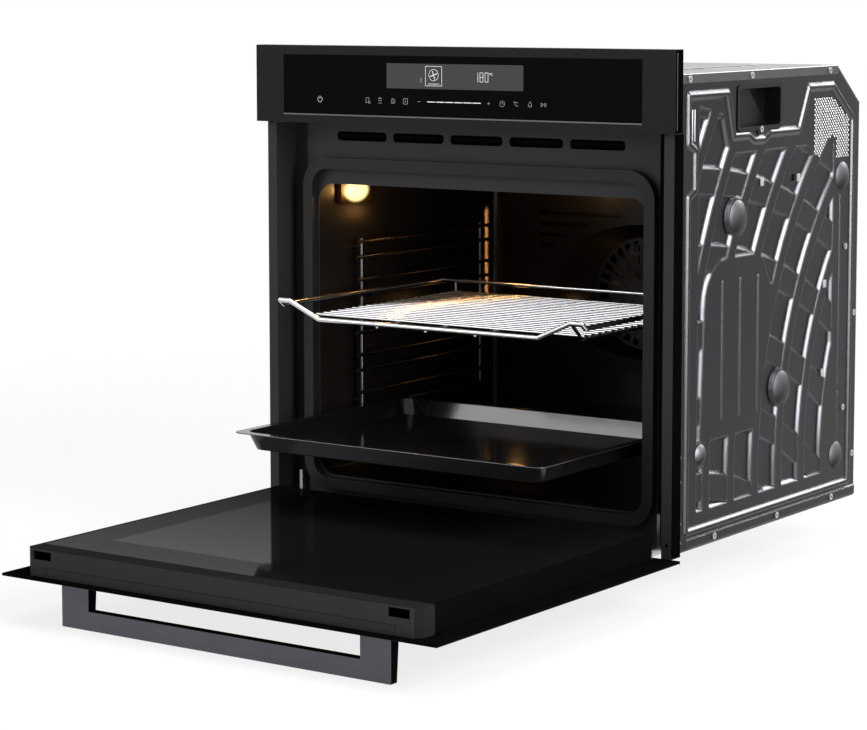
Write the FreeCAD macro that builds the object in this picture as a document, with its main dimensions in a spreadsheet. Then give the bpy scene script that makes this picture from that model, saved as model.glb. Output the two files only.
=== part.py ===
import FreeCAD, Part
import math
import os

import Sketcher

Vector = FreeCAD.Vector

# A built-in oven: millimetres, +Z up, +X to the right of the person facing it, +Y into the
# cabinet. The origin is the middle of the base's underside. The door hangs open on its stop,
# and the wire shelf and the baking tray are drawn part of the way out.

SIZES = {
    # Front
    "front_width": 595,
    "front_height": 594,
    "front_drop": 10,
    "fascia_height": 95,
    "fascia_depth": 17.5,
    "fascia_wall": 2,
    "fascia_stand": 13,
    "door_gap": 4,
    "glass_width": 510,
    "glass_height": 72.6,
    "glass_rise": 11.2,
    "glass_sheet": 3,
    "display_width": 195,
    "display_height": 30,
    "display_rise": 33.4,
    "strip_height": 1.6,
    # Cabinet body
    "body_width": 558,
    "body_depth": 472,
    "body_height": 554,
    "panel_sheet": 1,
    "slope_rise": 48,
    "slope_run": 63,
    # Front frame
    "frame_width": 580,
    "frame_depth": 21,
    "frame_strip": 13.3,
    "frame_sheet": 1.2,
    "recess_depth": 46,
    "groove_width": 23.7,
    "groove_depth": 7,
    "frame_height": 487,
    "face_height": 540,
    "fixing_rise": 16,
    "fixing_radius": 2.25,
    # Mouth of the cavity, its seal and the air slots above it
    "mouth_width": 472,
    "mouth_bottom": 43,
    "mouth_top": 411,
    "mouth_radius": 22,
    "seal_bottom": 27,
    "seal_top": 444,
    "seal_width": 504,
    "seal_band": 14,
    "seal_reach": 11.3,
    "seal_radius": 36,
    "slot_length": 75,
    "slot_height": 11.5,
    "slot_pitch": 84.5,
    "slot_rise": 471,
    # Cavity
    "cavity_width": 474,
    "cavity_bottom": 42,
    "cavity_top": 425,
    "cavity_depth": 399,
    "cavity_sheet": 1.2,
    "cavity_radius": 12,
    "cavity_rear_radius": 10,
    "wool_side": 22,
    "wool_top": 22,
    "wool_bottom": 18,
    "wool_rear": 20,
    "wool_gap": 0.3,
    "wool_start": 31,
    "element_gap": 7,
    "element_radius": 3.2,
    # Fan, its cover and its motor
    "fan_rise": 252,
    "fan_run": 18,
    "cover_width": 350,
    "cover_height": 306,
    "cover_depth": 16,
    "cover_sheet": 1,
    "cover_oval": 148,
    "cover_oval_rise": 90,
    "cover_disc": 74,
    "cover_step": 8,
    "slot_band": 14,
    "louvre_height": 5,
    "louvre_pitch": 14.7,
    "ring_radius": 92,
    "wheel_radius": 68,
    "wheel_width": 7,
    "wheel_disc": 1,
    "shaft_radius": 4,
    "motor_radius": 34,
    "motor_length": 42,
    "running_fit": 0.05,
    "sensor_length": 40,
    # Lamp
    "lamp_depth": 75,
    "lamp_rise": 397,
    "lamp_length": 62,
    "lamp_height": 28,
    "lamp_box": 21,
    # Side racks
    "rack_wire": 2.5,
    "rack_post": 222.5,
    "rack_rail": 218.2,
    "rack_front": 72,
    "rack_length": 274,
    "rack_first": 120,
    "rack_pitch": 48.3,
    "rack_guard": 19.5,
    # Wire shelf
    "shelf_out": 114,
    "shelf_depth": 350,
    "shelf_rail": 214.5,
    "shelf_wire": 3,
    "shelf_inner": 192,
    "shelf_drop": 14,
    "shelf_dip": 156,
    "shelf_grid_wire": 1.5,
    "shelf_grid_pitch": 15,
    "shelf_upturn": 6,
    # Baking tray
    "tray_out": 204,
    "tray_width": 438,
    "tray_depth": 355,
    "tray_rim": 9,
    "tray_height": 20,
    "tray_sheet": 1.2,
    "tray_draft": 7,
    # Door
    "door_skin": 3,
    "door_depth": 34.2,
    "door_body_width": 540,
    "door_body_bottom": 8,
    "hinge_setback": 7.5,
    "hinge_rise": 13,
    "trim_top_gap": 9,
    "trim_height": 28,
    "trim_chamfer": 8,
    "trim_window": 27,
    "trim_window_height": 10,
    "trim_window_inset": 12,
    "profile_wall": 3,
    "rail_height": 20,
    "pane_sheet": 4,
    "pane_half": 250,
    "pane_level": 14,
    # Hinges
    "arm_x": 257.5,
    "arm_sheet": 4,
    "arm_eye": 4.2,
    "pin_radius": 2.2,
    "cheek_gap": 2.5,
    "cheek_sheet": 2,
    "channel_length": 150,
    "channel_depth": 21,
    # Handle
    "handle_half": 226,
    "handle_post": 39,
    "handle_reach": 52.8,
    "handle_bar": 21.5,
    "handle_inset": 21,
    "handle_sheet": 14,
    # Pressed relief of the side panels, from the panel's front edge and the base
    "fan_centre_run": 728,
    "fan_centre_rise": 70,
    "fan_first": 352,
    "fan_pitch": 61,
    "fan_cell": 45,
    "bar_centre_run": 21,
    "bar_centre_drop": 413,
    "bar_first": 499.5,
    "bar_pitch": 89.5,
    "bar_cell": 61.5,
    "cell_depth": 4,
    "bar_depth": 1.3,
    "relief_front": 56,
    "relief_rear": 403,
    "relief_bottom": 42,
    "relief_top": 458,
    "arch_radius": 53,
    "bead_width": 9,
    "bead_height": 2.5,
    "line_width": 3.2,
    "line_height": 1,
    "dome_height": 5,
    "lid_fold": 10,
    "flange_height": 11,
    "flange_sheet": 1.2,
    "terminal_reach": 26,
    "terminal_radius": 48,
    "terminal_rise": 404,
    "terminal_inset": 54,
    "hold_run": 149,
    "hold_rise": 486,
    "hold_width": 107,
    "hold_height": 49,
    "hold_depth": 22,
    "hold_wall": 1.5,
    "fit_gap": 0.3,
    # Space above the cavity
    "chassis_rise": 450,
    "chassis_width": 544,
    "duct_sheet": 1,
    "duct_width": 436,
    "duct_height": 36,
    "duct_depth": 282,
    "blower_length": 236,
    "blower_depth": 96,
    "blower_height": 94,
    "rotor_radius": 32,
    "axle_radius": 3,
    "blower_motor": 44,
    "housing_width": 518,
    "trim_wall": 2,
    "handle_screw": 2,
    "screw_head": 4,
    "screw_rise": 1.8,
}

doc = FreeCAD.newDocument("WallOven")
sheet = doc.addObject("Spreadsheet::Sheet", "Sizes")
for row, (alias, value) in enumerate(SIZES.items(), start=1):
    sheet.set(f"A{row}", alias)
    sheet.set(f"B{row}", str(value))
    sheet.setAlias(f"B{row}", alias)
doc.recompute()


class Size:
    """A length with its value and the sheet expression that gives it."""

    def __init__(self, value, text):
        self.value = value
        self.text = text

    def __add__(self, other):
        other = size(other)
        return Size(self.value + other.value, f"({self.text} + {other.text})")

    def __sub__(self, other):
        other = size(other)
        return Size(self.value - other.value, f"({self.text} - {other.text})")

    def __mul__(self, factor):
        factor = size(factor)
        return Size(self.value * factor.value, f"({self.text} * {factor.text})")

    def __truediv__(self, factor):
        factor = size(factor)
        return Size(self.value / factor.value, f"({self.text} / {factor.text})")

    def __neg__(self):
        return Size(-self.value, f"(-1 * {self.text})")

    __radd__ = __add__
    __rmul__ = __mul__

    def __rsub__(self, other):
        return size(other) - self


def size(number):
    """A plain number as a Size; a Size stays as it is."""
    if isinstance(number, Size):
        return number
    return Size(float(number), f"({float(number)!r})")


class Sheet:
    """The sheet's cells as attributes, each one a Size."""

    def __getattr__(self, alias):
        return Size(float(sheet.get(alias)), f"Sizes.{alias}")


S = Sheet()


def bind(owner, path, amount):
    """Ties a property to the sheet."""
    owner.setExpression(path, size(amount).text)


def name_node(owner, label):
    """Marks an object as a finished piece of the oven."""
    owner.Label = label
    nodes.append(owner)
    return owner


nodes = []

# ---------------------------------------------------------------- primitives


def block(name, x, y, z):
    """A box between two corners."""
    box = doc.addObject("Part::Box", name)
    for side, axis, (low, high) in (("Length", "x", x), ("Width", "y", y), ("Height", "z", z)):
        bind(box, side, size(high) - low)
        bind(box, f"Placement.Base.{axis}", low)
    return box


TURNS = {
    "X": FreeCAD.Rotation(Vector(0, 1, 0), 90),
    "Y": FreeCAD.Rotation(Vector(1, 0, 0), -90),
    "Z": FreeCAD.Rotation(),
}


def place(owner, at, axis="Z"):
    """Turns an object's own Z to an axis and binds its position."""
    owner.Placement = FreeCAD.Placement(Vector(), TURNS[axis])
    for letter, amount in zip("xyz", at):
        bind(owner, f"Placement.Base.{letter}", amount)
    return owner


def rod(name, radius, at, length, axis="Z"):
    """A cylinder from a point along an axis."""
    cylinder = doc.addObject("Part::Cylinder", name)
    bind(cylinder, "Radius", radius)
    bind(cylinder, "Height", length)
    return place(cylinder, at, axis)


def hoop(name, radius, wire, at, axis="Z"):
    """A torus."""
    torus = doc.addObject("Part::Torus", name)
    bind(torus, "Radius1", radius)
    bind(torus, "Radius2", wire)
    return place(torus, at, axis)


def fuse(name, pieces):
    """Joins pieces into one solid."""
    union = doc.addObject("Part::MultiFuse", name)
    union.Shapes = pieces
    return union


def cut(name, base, tools):
    """Takes tools out of a base."""
    result = doc.addObject("Part::Cut", name)
    result.Base = base
    result.Tool = tools[0] if len(tools) == 1 else fuse(name + "_tools", tools)
    return result


def group(name, pieces):
    """Separate solids that share one node."""
    compound = doc.addObject("Part::Compound", name)
    compound.Links = pieces
    return compound


# ---------------------------------------------------------------- bodies and sketches

# For each plane: the sign of its offset along the global axis, and whether a Pad has to be
# reversed to grow towards the positive axis.
PLANES = {"XY_Plane": (1, False), "XZ_Plane": (-1, True), "YZ_Plane": (1, False)}


def new_body(name):
    """An empty body with the name of its node."""
    body = doc.addObject("PartDesign::Body", name)
    return name_node(body, name)


def new_sketch(body, plane, at):
    """A sketch parallel to one of the body's own origin planes."""
    sketch = body.newObject("Sketcher::SketchObject", body.Name + "_sketch")
    for feature in body.Origin.OriginFeatures:
        if feature.Role == plane:
            sketch.AttachmentSupport = (feature, "")
    sketch.MapMode = "FlatFace"
    bind(sketch, "AttachmentOffset.Base.z", size(at) * PLANES[plane][0])
    return sketch


def hold(sketch, kind, element, point, amount):
    """Holds one point of a sketch at a bound distance from its origin."""
    index = sketch.addConstraint(
        Sketcher.Constraint(kind, -1, 1, element, point, size(amount).value)
    )
    sketch.setExpression(f"Constraints[{index}]", size(amount).text)


def outline(sketch, corners):
    """A closed outline of straight lines through corners."""
    first = sketch.GeometryCount
    points = [Vector(size(a).value, size(b).value, 0) for a, b in corners]
    count = len(points)
    for i in range(count):
        sketch.addGeometry(Part.LineSegment(points[i], points[(i + 1) % count]), False)
    for i in range(count):
        following = first + (i + 1) % count
        sketch.addConstraint(Sketcher.Constraint("Coincident", first + i, 2, following, 1))
    for i, (a, b) in enumerate(corners):
        hold(sketch, "DistanceX", first + i, 1, a)
        hold(sketch, "DistanceY", first + i, 1, b)


def rectangle(sketch, a, b):
    """A rectangle between two ranges."""
    outline(sketch, [(a[0], b[0]), (a[1], b[0]), (a[1], b[1]), (a[0], b[1])])


def circle(sketch, centre, radius):
    """A circle."""
    a, b = (size(c) for c in centre)
    ring = Part.Circle(Vector(a.value, b.value, 0), Vector(0, 0, 1), size(radius).value)
    element = sketch.addGeometry(ring, False)
    hold(sketch, "DistanceX", element, 3, a)
    hold(sketch, "DistanceY", element, 3, b)
    index = sketch.addConstraint(Sketcher.Constraint("Radius", element, size(radius).value))
    sketch.setExpression(f"Constraints[{index}]", size(radius).text)


def oval(sketch, centre, wide, tall):
    """An ellipse with its long axis level."""
    a, b = (size(c) for c in centre)
    middle = Vector(a.value, b.value, 0)
    tip = middle + Vector(wide.value, 0, 0)
    crown = middle + Vector(0, tall.value, 0)
    first = sketch.addGeometry(Part.Ellipse(tip, crown, middle), False)
    sketch.exposeInternalGeometry(first)
    hold(sketch, "DistanceX", first, 3, a)
    hold(sketch, "DistanceY", first, 3, b)
    end = 1 if sketch.Geometry[first + 1].StartPoint.x > a.value else 2
    hold(sketch, "DistanceX", first + 1, end, a + wide)
    hold(sketch, "DistanceY", first + 1, end, b)
    end = 1 if sketch.Geometry[first + 2].StartPoint.y > b.value else 2
    hold(sketch, "DistanceY", first + 2, end, b + tall)


def rounded(sketch, a, b, radius):
    """A rectangle with round corners: four arcs joined by four tangent lines."""
    radius = size(radius)
    low = (size(a[0]) + radius, size(b[0]) + radius)
    high = (size(a[1]) - radius, size(b[1]) - radius)
    centres = [(low[0], low[1]), (high[0], low[1]), (high[0], high[1]), (low[0], high[1])]
    arcs = []
    for i, (u, v) in enumerate(centres):
        start = math.pi + i * math.pi / 2
        whole = Part.Circle(Vector(u.value, v.value, 0), Vector(0, 0, 1), radius.value)
        arcs.append(sketch.addGeometry(Part.ArcOfCircle(whole, start, start + math.pi / 2), False))
    for i, (u, v) in enumerate(centres):
        following = (i + 1) % 4
        start = arc_end(centres[i], radius, i)
        end = arc_start(centres[following], radius, following)
        line = sketch.addGeometry(Part.LineSegment(start, end), False)
        sketch.addConstraint(Sketcher.Constraint("Tangent", arcs[i], 2, line, 1))
        sketch.addConstraint(Sketcher.Constraint("Tangent", line, 2, arcs[following], 1))
    for i in (0, 2):
        hold(sketch, "DistanceX", arcs[i], 3, centres[i][0])
        hold(sketch, "DistanceY", arcs[i], 3, centres[i][1])
    hold(sketch, "DistanceX", arcs[1], 3, centres[1][0])
    hold(sketch, "DistanceY", arcs[3], 3, centres[3][1])
    for i, arc in enumerate(arcs):
        if i:
            sketch.addConstraint(Sketcher.Constraint("Equal", arcs[0], arc))
    index = sketch.addConstraint(Sketcher.Constraint("Radius", arcs[0], radius.value))
    sketch.setExpression(f"Constraints[{index}]", radius.text)


def arc_start(centre, radius, quarter):
    """Where a corner arc begins, going anticlockwise."""
    angle = math.pi + quarter * math.pi / 2
    return Vector(
        centre[0].value + radius.value * math.cos(angle),
        centre[1].value + radius.value * math.sin(angle),
        0,
    )


def arc_end(centre, radius, quarter):
    """Where a corner arc ends, going anticlockwise."""
    return arc_start(centre, radius, quarter + 1)


def pad(body, plane, at, thickness, draw):
    """Grows what draw() puts in a sketch from a level towards the positive axis."""
    sketch = new_sketch(body, plane, at)
    draw(sketch)
    feature = body.newObject("PartDesign::Pad", body.Name + "_pad")
    feature.Profile = sketch
    bind(feature, "Length", thickness)
    feature.Reversed = PLANES[plane][1]
    return feature


def pocket(body, plane, at, depth, draw):
    """Cuts what draw() puts in a sketch from a level towards the positive axis."""
    doc.recompute()
    before = body.Shape.Volume
    sketch = new_sketch(body, plane, at)
    draw(sketch)
    feature = body.newObject("PartDesign::Pocket", body.Name + "_pocket")
    feature.Profile = sketch
    bind(feature, "Length", depth)
    feature.Reversed = not PLANES[plane][1]
    doc.recompute()
    if body.Shape.Volume >= before:
        raise RuntimeError(f"{body.Label}: a pocket cuts nothing")
    return feature


# ---------------------------------------------------------------- common levels

frame_back = -S.body_depth / 2
frame_front = frame_back - S.frame_depth
front = frame_front - S.fascia_stand
face = front + S.recess_depth
face_back = face + S.frame_sheet
rear = S.body_depth / 2
fascia_top = S.front_height - S.front_drop
fascia_bottom = fascia_top - S.fascia_height
door_top = fascia_bottom - S.door_gap
hinge_y = front + S.hinge_setback
hinge_z = S.hinge_rise - S.front_drop
side = S.body_width / 2
cavity_rear = face_back + S.cavity_depth
panel_front = frame_back


def swung(height):
    """Where a height on the shut door lies along Y when the door is open."""
    return hinge_y + hinge_z - height


def level(depth):
    """Where a depth behind the shut door's face lies along Z when the door is open."""
    return hinge_z - S.hinge_setback + depth


def on_door(x, height, depth):
    """A box on the open door, given as it lies on the shut one."""
    return x, (swung(height[1]), swung(height[0])), (level(depth[0]), level(depth[1]))


def sides():
    """The name and the sign of each side."""
    return (("left", -1), ("right", 1))


def span(sign, near, far):
    """The X range between two distances from the middle, on one side."""
    return (near, far) if sign > 0 else (-size(far), -size(near))

# ---------------------------------------------------------------- front frame


def front_frame():
    """One folded and pressed sheet: strips beside the door, a groove, and the face behind it."""
    body = new_body("front_frame")
    wall = S.frame_sheet
    half = S.frame_width / 2
    inside = half - S.frame_strip
    groove = inside - S.groove_width
    floor = face + S.groove_depth

    def fold(sign):
        path = [
            (side - 0.5, frame_back),
            (half, frame_back),
            (half, frame_front),
            (inside, frame_front),
            (inside, floor),
            (groove, floor),
            (groove, face),
            (groove - wall, face),
            (groove - wall, face_back),
            (groove - wall, floor + wall),
            (inside + wall, floor + wall),
            (inside + wall, frame_front + wall),
            (half - wall, frame_front + wall),
            (half - wall, frame_back - wall),
            (side - 0.5, frame_back - wall),
        ]
        return [(x * sign, y) for x, y in path]

    for sign in (-1, 1):
        pad(body, "XY_Plane", 0, S.frame_height, lambda sketch: outline(sketch, fold(sign)))
    reach = groove - wall
    pad(body, "XZ_Plane", face, wall, lambda s: rectangle(s, (-reach, reach), (0, S.face_height)))
    pocket(
        body,
        "XZ_Plane",
        face - 1,
        wall + 2,
        lambda s: rounded(
            s,
            (-S.mouth_width / 2, S.mouth_width / 2),
            (S.mouth_bottom, S.mouth_top),
            S.mouth_radius,
        ),
    )

    def slots(sketch):
        for i in range(-2, 3):
            middle = S.slot_pitch * i
            rounded(
                sketch,
                (middle - S.slot_length / 2, middle + S.slot_length / 2),
                (S.slot_rise - S.slot_height / 2, S.slot_rise + S.slot_height / 2),
                S.slot_height * 0.42,
            )

    pocket(body, "XZ_Plane", face - 1, wall + 2, slots)

    def fixings(sketch):
        for sign in (-1, 1):
            circle(sketch, ((half - S.frame_strip / 2) * sign, S.fixing_rise), S.fixing_radius)

    pocket(body, "XZ_Plane", frame_front - 1, S.frame_sheet + 2, fixings)

    def arm_slots(sketch):
        for sign in (-1, 1):
            a = (S.arm_x - 1) * sign
            b = (S.arm_x + S.arm_sheet + 1) * sign
            rectangle(sketch, (a, b), (arm_claws[0][0] - 2, arm_claws[1][1] + 2))

    pocket(body, "XZ_Plane", face + S.groove_depth - 1, wall + 2, arm_slots)


# The two claws of a hinge arm, as heights above the base.
arm_claws = ((hinge_z + 10, hinge_z + 18), (hinge_z + 31, hinge_z + 39))

front_frame()


def door_seal():
    """A rubber ring around the mouth, standing off the face."""
    body = new_body("door_seal")
    half = S.seal_width / 2
    band = S.seal_band
    start = face - S.seal_reach
    pad(
        body,
        "XZ_Plane",
        start,
        S.seal_reach,
        lambda s: rounded(s, (-half, half), (S.seal_bottom, S.seal_top), S.seal_radius),
    )
    pocket(
        body,
        "XZ_Plane",
        start,
        S.seal_reach,
        lambda s: rounded(
            s,
            (-half + band, half - band),
            (S.seal_bottom + band, S.seal_top - band),
            S.seal_radius - band,
        ),
    )


door_seal()

# ---------------------------------------------------------------- cavity


def cavity_liner():
    """The enamelled box behind the mouth."""
    body = new_body("cavity_liner")
    half = S.cavity_width / 2
    wall = S.cavity_sheet
    pad(
        body,
        "XZ_Plane",
        face_back,
        S.cavity_depth,
        lambda s: rounded(
            s,
            (-half - wall, half + wall),
            (S.cavity_bottom - wall, S.cavity_top + wall),
            S.cavity_radius + wall,
        ),
    )
    pocket(
        body,
        "XZ_Plane",
        face_back,
        S.cavity_depth - wall,
        lambda s: rounded(s, (-half, half), (S.cavity_bottom, S.cavity_top), S.cavity_radius),
    )
    pocket(
        body,
        "XZ_Plane",
        cavity_rear - wall - 1,
        wall + 2,
        lambda s: circle(s, (S.fan_run, S.fan_rise), S.shaft_radius + 2),
    )
    middle = face + S.lamp_depth
    pocket(
        body,
        "YZ_Plane",
        -half - wall - 1,
        wall + 2,
        lambda s: rounded(
            s,
            (middle - S.lamp_length / 2, middle + S.lamp_length / 2),
            (S.lamp_rise - S.lamp_height / 2, S.lamp_rise + S.lamp_height / 2),
            8,
        ),
    )
    doc.recompute()
    for level_y, radius in (
        (cavity_rear - wall, S.cavity_rear_radius),
        (cavity_rear, S.cavity_rear_radius + wall),
    ):
        tip = body.Tip
        names = [
            f"Edge{i}"
            for i, edge in enumerate(tip.Shape.Edges, start=1)
            if abs(edge.BoundBox.YMin - level_y.value) < 0.01
            and abs(edge.BoundBox.YMax - level_y.value) < 0.01
            and edge.BoundBox.Center.sub(Vector(S.fan_run.value, level_y.value, S.fan_rise.value)).Length > 60
        ]
        rounding = body.newObject("PartDesign::Fillet", "cavity_rear_round")
        rounding.Base = (tip, names)
        bind(rounding, "Radius", radius)
        doc.recompute()


cavity_liner()


def insulation():
    """Mineral wool around the cavity, closed behind it and open at the front."""
    body = new_body("insulation_wool")
    gap = S.wool_gap
    half = S.cavity_width / 2 + S.cavity_sheet + gap
    low = S.cavity_bottom - S.cavity_sheet - S.element_gap
    high = S.cavity_top + S.cavity_sheet + gap
    start = face_back + S.wool_start
    inner_rear = cavity_rear + gap
    pad(
        body,
        "XZ_Plane",
        start,
        inner_rear + S.wool_rear - start,
        lambda s: rectangle(
            s,
            (-half - S.wool_side, half + S.wool_side),
            (low - S.wool_bottom, high + S.wool_top),
        ),
    )
    pocket(
        body,
        "XZ_Plane",
        start,
        inner_rear - start,
        lambda s: rectangle(s, (-half, half), (low, high)),
    )
    pocket(
        body,
        "XZ_Plane",
        inner_rear,
        S.wool_rear,
        lambda s: circle(s, (S.fan_run, S.fan_rise), S.motor_radius + 4),
    )
    middle = face + S.lamp_depth
    pocket(
        body,
        "YZ_Plane",
        -half - S.wool_side,
        S.wool_side,
        lambda s: rectangle(
            s,
            (middle - S.lamp_length / 2 - 3, middle + S.lamp_length / 2 + 3),
            (S.lamp_rise - S.lamp_height / 2 - 3, S.lamp_rise + S.lamp_height / 2 + 3),
        ),
    )


insulation()


def lamp():
    """A halogen lamp in the left wall: housing in the wool, bulb, and a glass cover inside."""
    half = S.cavity_width / 2
    middle = face + S.lamp_depth
    long = S.lamp_length / 2
    tall = S.lamp_height / 2
    housing = new_body("lamp_housing")
    outer = -half - S.cavity_sheet

    def frame(grow):
        return lambda s: rounded(
            s,
            (middle - long - grow, middle + long + grow),
            (S.lamp_rise - tall - grow, S.lamp_rise + tall + grow),
            8,
        )

    pad(housing, "YZ_Plane", outer - S.lamp_box, S.lamp_box, frame(1.5))
    pocket(housing, "YZ_Plane", outer - S.lamp_box + 1, S.lamp_box - 1, frame(-0.5))
    glass = new_body("lamp_glass")
    pad(glass, "YZ_Plane", -half + 0.2, 5, frame(2))
    pad(glass, "YZ_Plane", outer - 2, S.cavity_sheet + 2.2, frame(-1))
    bulb = rod("lamp_bulb_glass", 5, (outer - 10, middle - 14, S.lamp_rise), 28, "Y")
    cap = rod("lamp_bulb_cap", 6.5, (outer - 10, middle + 14, S.lamp_rise), long - 14.5, "Y")
    name_node(fuse("lamp_bulb", [bulb, cap]), "lamp_bulb")


lamp()


def heaters():
    """Three tube elements: above, below and around the fan."""
    wire = S.element_radius
    half = S.cavity_width / 2 - 60
    top = S.cavity_top - 12
    near = face_back + 60
    far = cavity_rear - 70
    loops = []
    for i, x in enumerate((half, half - 45)):
        for sign in (-1, 1):
            loops.append(rod(f"grill_leg_{i}{sign + 1}", wire, (x * sign, near, top), far - near, "Y"))
    loops.append(rod("grill_front", wire, (-half, near, top), half * 2, "X"))
    loops.append(rod("grill_rear_left", wire, (-half, far, top), 45, "X"))
    loops.append(rod("grill_rear_right", wire, (half - 45, far, top), 45, "X"))
    for sign in (-1, 1):
        loops.append(
            rod(f"grill_tail_{sign + 1}", wire, ((half - 45) * sign, far, top),
                cavity_rear - S.cavity_sheet - far, "Y")
        )
        hanger = (half * sign - 1, near + 40)
        loops.append(
            rod(f"grill_hanger_{sign + 1}", 2, (hanger[0], hanger[1], top), S.cavity_top - top)
        )
    name_node(fuse("grill_element", loops), "grill_element")

    low = S.cavity_bottom - S.cavity_sheet - wire
    loops = []
    for sign in (-1, 1):
        for i, x in enumerate((half, half - 70)):
            loops.append(rod(f"base_leg_{i}{sign + 1}", wire, (x * sign, near, low), far - near, "Y"))
        loops.append(rod(f"base_rear_{sign + 1}", wire, (half - 70 if sign > 0 else -half, far, low), 70, "X"))
    loops.append(rod("base_front", wire, (-half, near, low), half * 2, "X"))
    name_node(fuse("bottom_element", loops), "bottom_element")

    ring_y = cavity_rear - S.cavity_sheet - S.cover_depth / 2
    ring = hoop("ring_loop", S.ring_radius, wire, (S.fan_run, ring_y, S.fan_rise), "Y")
    legs = [
        rod(f"ring_leg_{sign + 1}", wire, (S.fan_run + sign * 12, ring_y, S.fan_rise + S.ring_radius),
            S.cover_depth / 2, "Y")
        for sign in (-1, 1)
    ]
    name_node(fuse("ring_element", [ring] + legs), "ring_element")


heaters()


def fan_parts():
    """Cover with a raised disc and radial slots, wheel on its shaft, and the motor behind."""
    cover = new_body("fan_cover")
    plane = cavity_rear - S.cavity_sheet - S.cover_depth
    across = S.cover_width / 2
    tall = S.cover_height / 2
    wall = S.cover_sheet

    def panel(grow):
        return lambda s: rounded(
            s,
            (-across - grow, across + grow),
            (S.fan_rise - tall - grow, S.fan_rise + tall + grow),
            30 + grow,
        )

    pad(cover, "XZ_Plane", plane, S.cover_depth, panel(0))
    pocket(cover, "XZ_Plane", plane + wall, S.cover_depth - wall, panel(-wall))
    centre = (S.fan_run, S.fan_rise)

    def section(at, draw):
        sketch = new_sketch(cover, "XZ_Plane", at)
        draw(sketch)
        return sketch

    doc.recompute()
    for kind, inset, at in (("Additive", 0, plane), ("Subtractive", wall, plane + wall)):
        loft = cover.newObject(f"PartDesign::{kind}Loft", f"fan_cover_{kind.lower()}")
        loft.Profile = section(
            at, lambda s: oval(s, centre, S.cover_oval - inset, S.cover_oval_rise - inset)
        )
        loft.Sections = [
            section(at - S.cover_step, lambda s: circle(s, centre, S.cover_disc - inset * 0.5))
        ]
        doc.recompute()

    axis = doc.addObject("PartDesign::Line", "fan_axis")
    cover.addObject(axis)
    axis.Placement = FreeCAD.Placement(Vector(S.fan_run.value, 0, S.fan_rise.value), TURNS["Y"])
    bind(axis, "Placement.Base.x", S.fan_run)
    bind(axis, "Placement.Base.z", S.fan_rise)
    for i, count in enumerate((30, 24, 15)):
        outer = S.cover_disc - 4 - i * (S.slot_band + 4)
        inner = outer - S.slot_band

        def radial_slot(sketch):
            outline(
                sketch,
                [
                    (S.fan_run - inner * 0.06, S.fan_rise + inner),
                    (S.fan_run + inner * 0.06, S.fan_rise + inner),
                    (S.fan_run + outer * 0.06, S.fan_rise + outer),
                    (S.fan_run - outer * 0.06, S.fan_rise + outer),
                ],
            )

        slot = pocket(cover, "XZ_Plane", plane - S.cover_step - 1, wall + 2, radial_slot)
        pattern = cover.newObject("PartDesign::PolarPattern", f"fan_cover_slots_{i}")
        pattern.Originals = [slot]
        pattern.Axis = (axis, [""])
        pattern.Angle = 360
        pattern.Occurrences = count
        cover.Tip = pattern
        doc.recompute()
    for i, end in enumerate((26, 76, 106, 125)):
        low = S.fan_rise + 102 - S.louvre_pitch * i
        pocket(cover, "XZ_Plane", plane - 1, wall + 2,
               lambda s: rectangle(s, (-across + 23, -end), (low - S.louvre_height, low)))

    wheel_y = plane + 3
    hub = (S.fan_run, wheel_y + S.wheel_width, S.fan_rise)
    blades = [rod("wheel_disc", S.wheel_radius, hub, S.wheel_disc, "Y")]
    count = 14
    for i in range(count):
        blade = block(
            f"wheel_blade_{i}",
            (0, 0.8),
            (0, S.wheel_width),
            (0, 24),
        )
        angle = 360 * i / count
        turn = FreeCAD.Rotation(Vector(0, 1, 0), angle) * FreeCAD.Rotation(Vector(0, 1, 0), 0)
        radius = (S.wheel_radius - 25).value
        offset = turn.multVec(Vector(0, 0, radius))
        blade.Placement.Rotation = turn * FreeCAD.Rotation(Vector(0, 1, 0), 25)
        bind(blade, "Placement.Base.x", S.fan_run + (S.wheel_radius - 25) * (offset.x / radius))
        bind(blade, "Placement.Base.y", wheel_y)
        bind(blade, "Placement.Base.z", S.fan_rise + (S.wheel_radius - 25) * (offset.z / radius))
        blades.append(blade)
    shaft = rod("wheel_shaft", S.shaft_radius, hub, 34, "Y")
    name_node(fuse("convection_fan", blades + [shaft]), "convection_fan")

    motor_y = cavity_rear + 2
    can = rod("motor_can", S.motor_radius, (S.fan_run, motor_y, S.fan_rise), S.motor_length, "Y")
    bore = rod("motor_bore", S.shaft_radius + S.running_fit, (S.fan_run, motor_y, S.fan_rise), 26, "Y")
    ear_y = motor_y + S.motor_length / 2
    ear = block("motor_ears", (S.fan_run - 50, S.fan_run + 50), (ear_y, ear_y + 2), (S.fan_rise - 9, S.fan_rise + 9))
    feet = [
        block(f"motor_foot_{sign + 1}", (S.fan_run + sign * 50 - 5, S.fan_run + sign * 50 + 5),
              (ear_y + 2, rear - S.panel_sheet), (S.fan_rise - 9, S.fan_rise + 9))
        for sign in (-1, 1)
    ]
    name_node(cut("fan_motor", fuse("motor_solid", [can, ear] + feet), [bore]), "fan_motor")


fan_parts()


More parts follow.
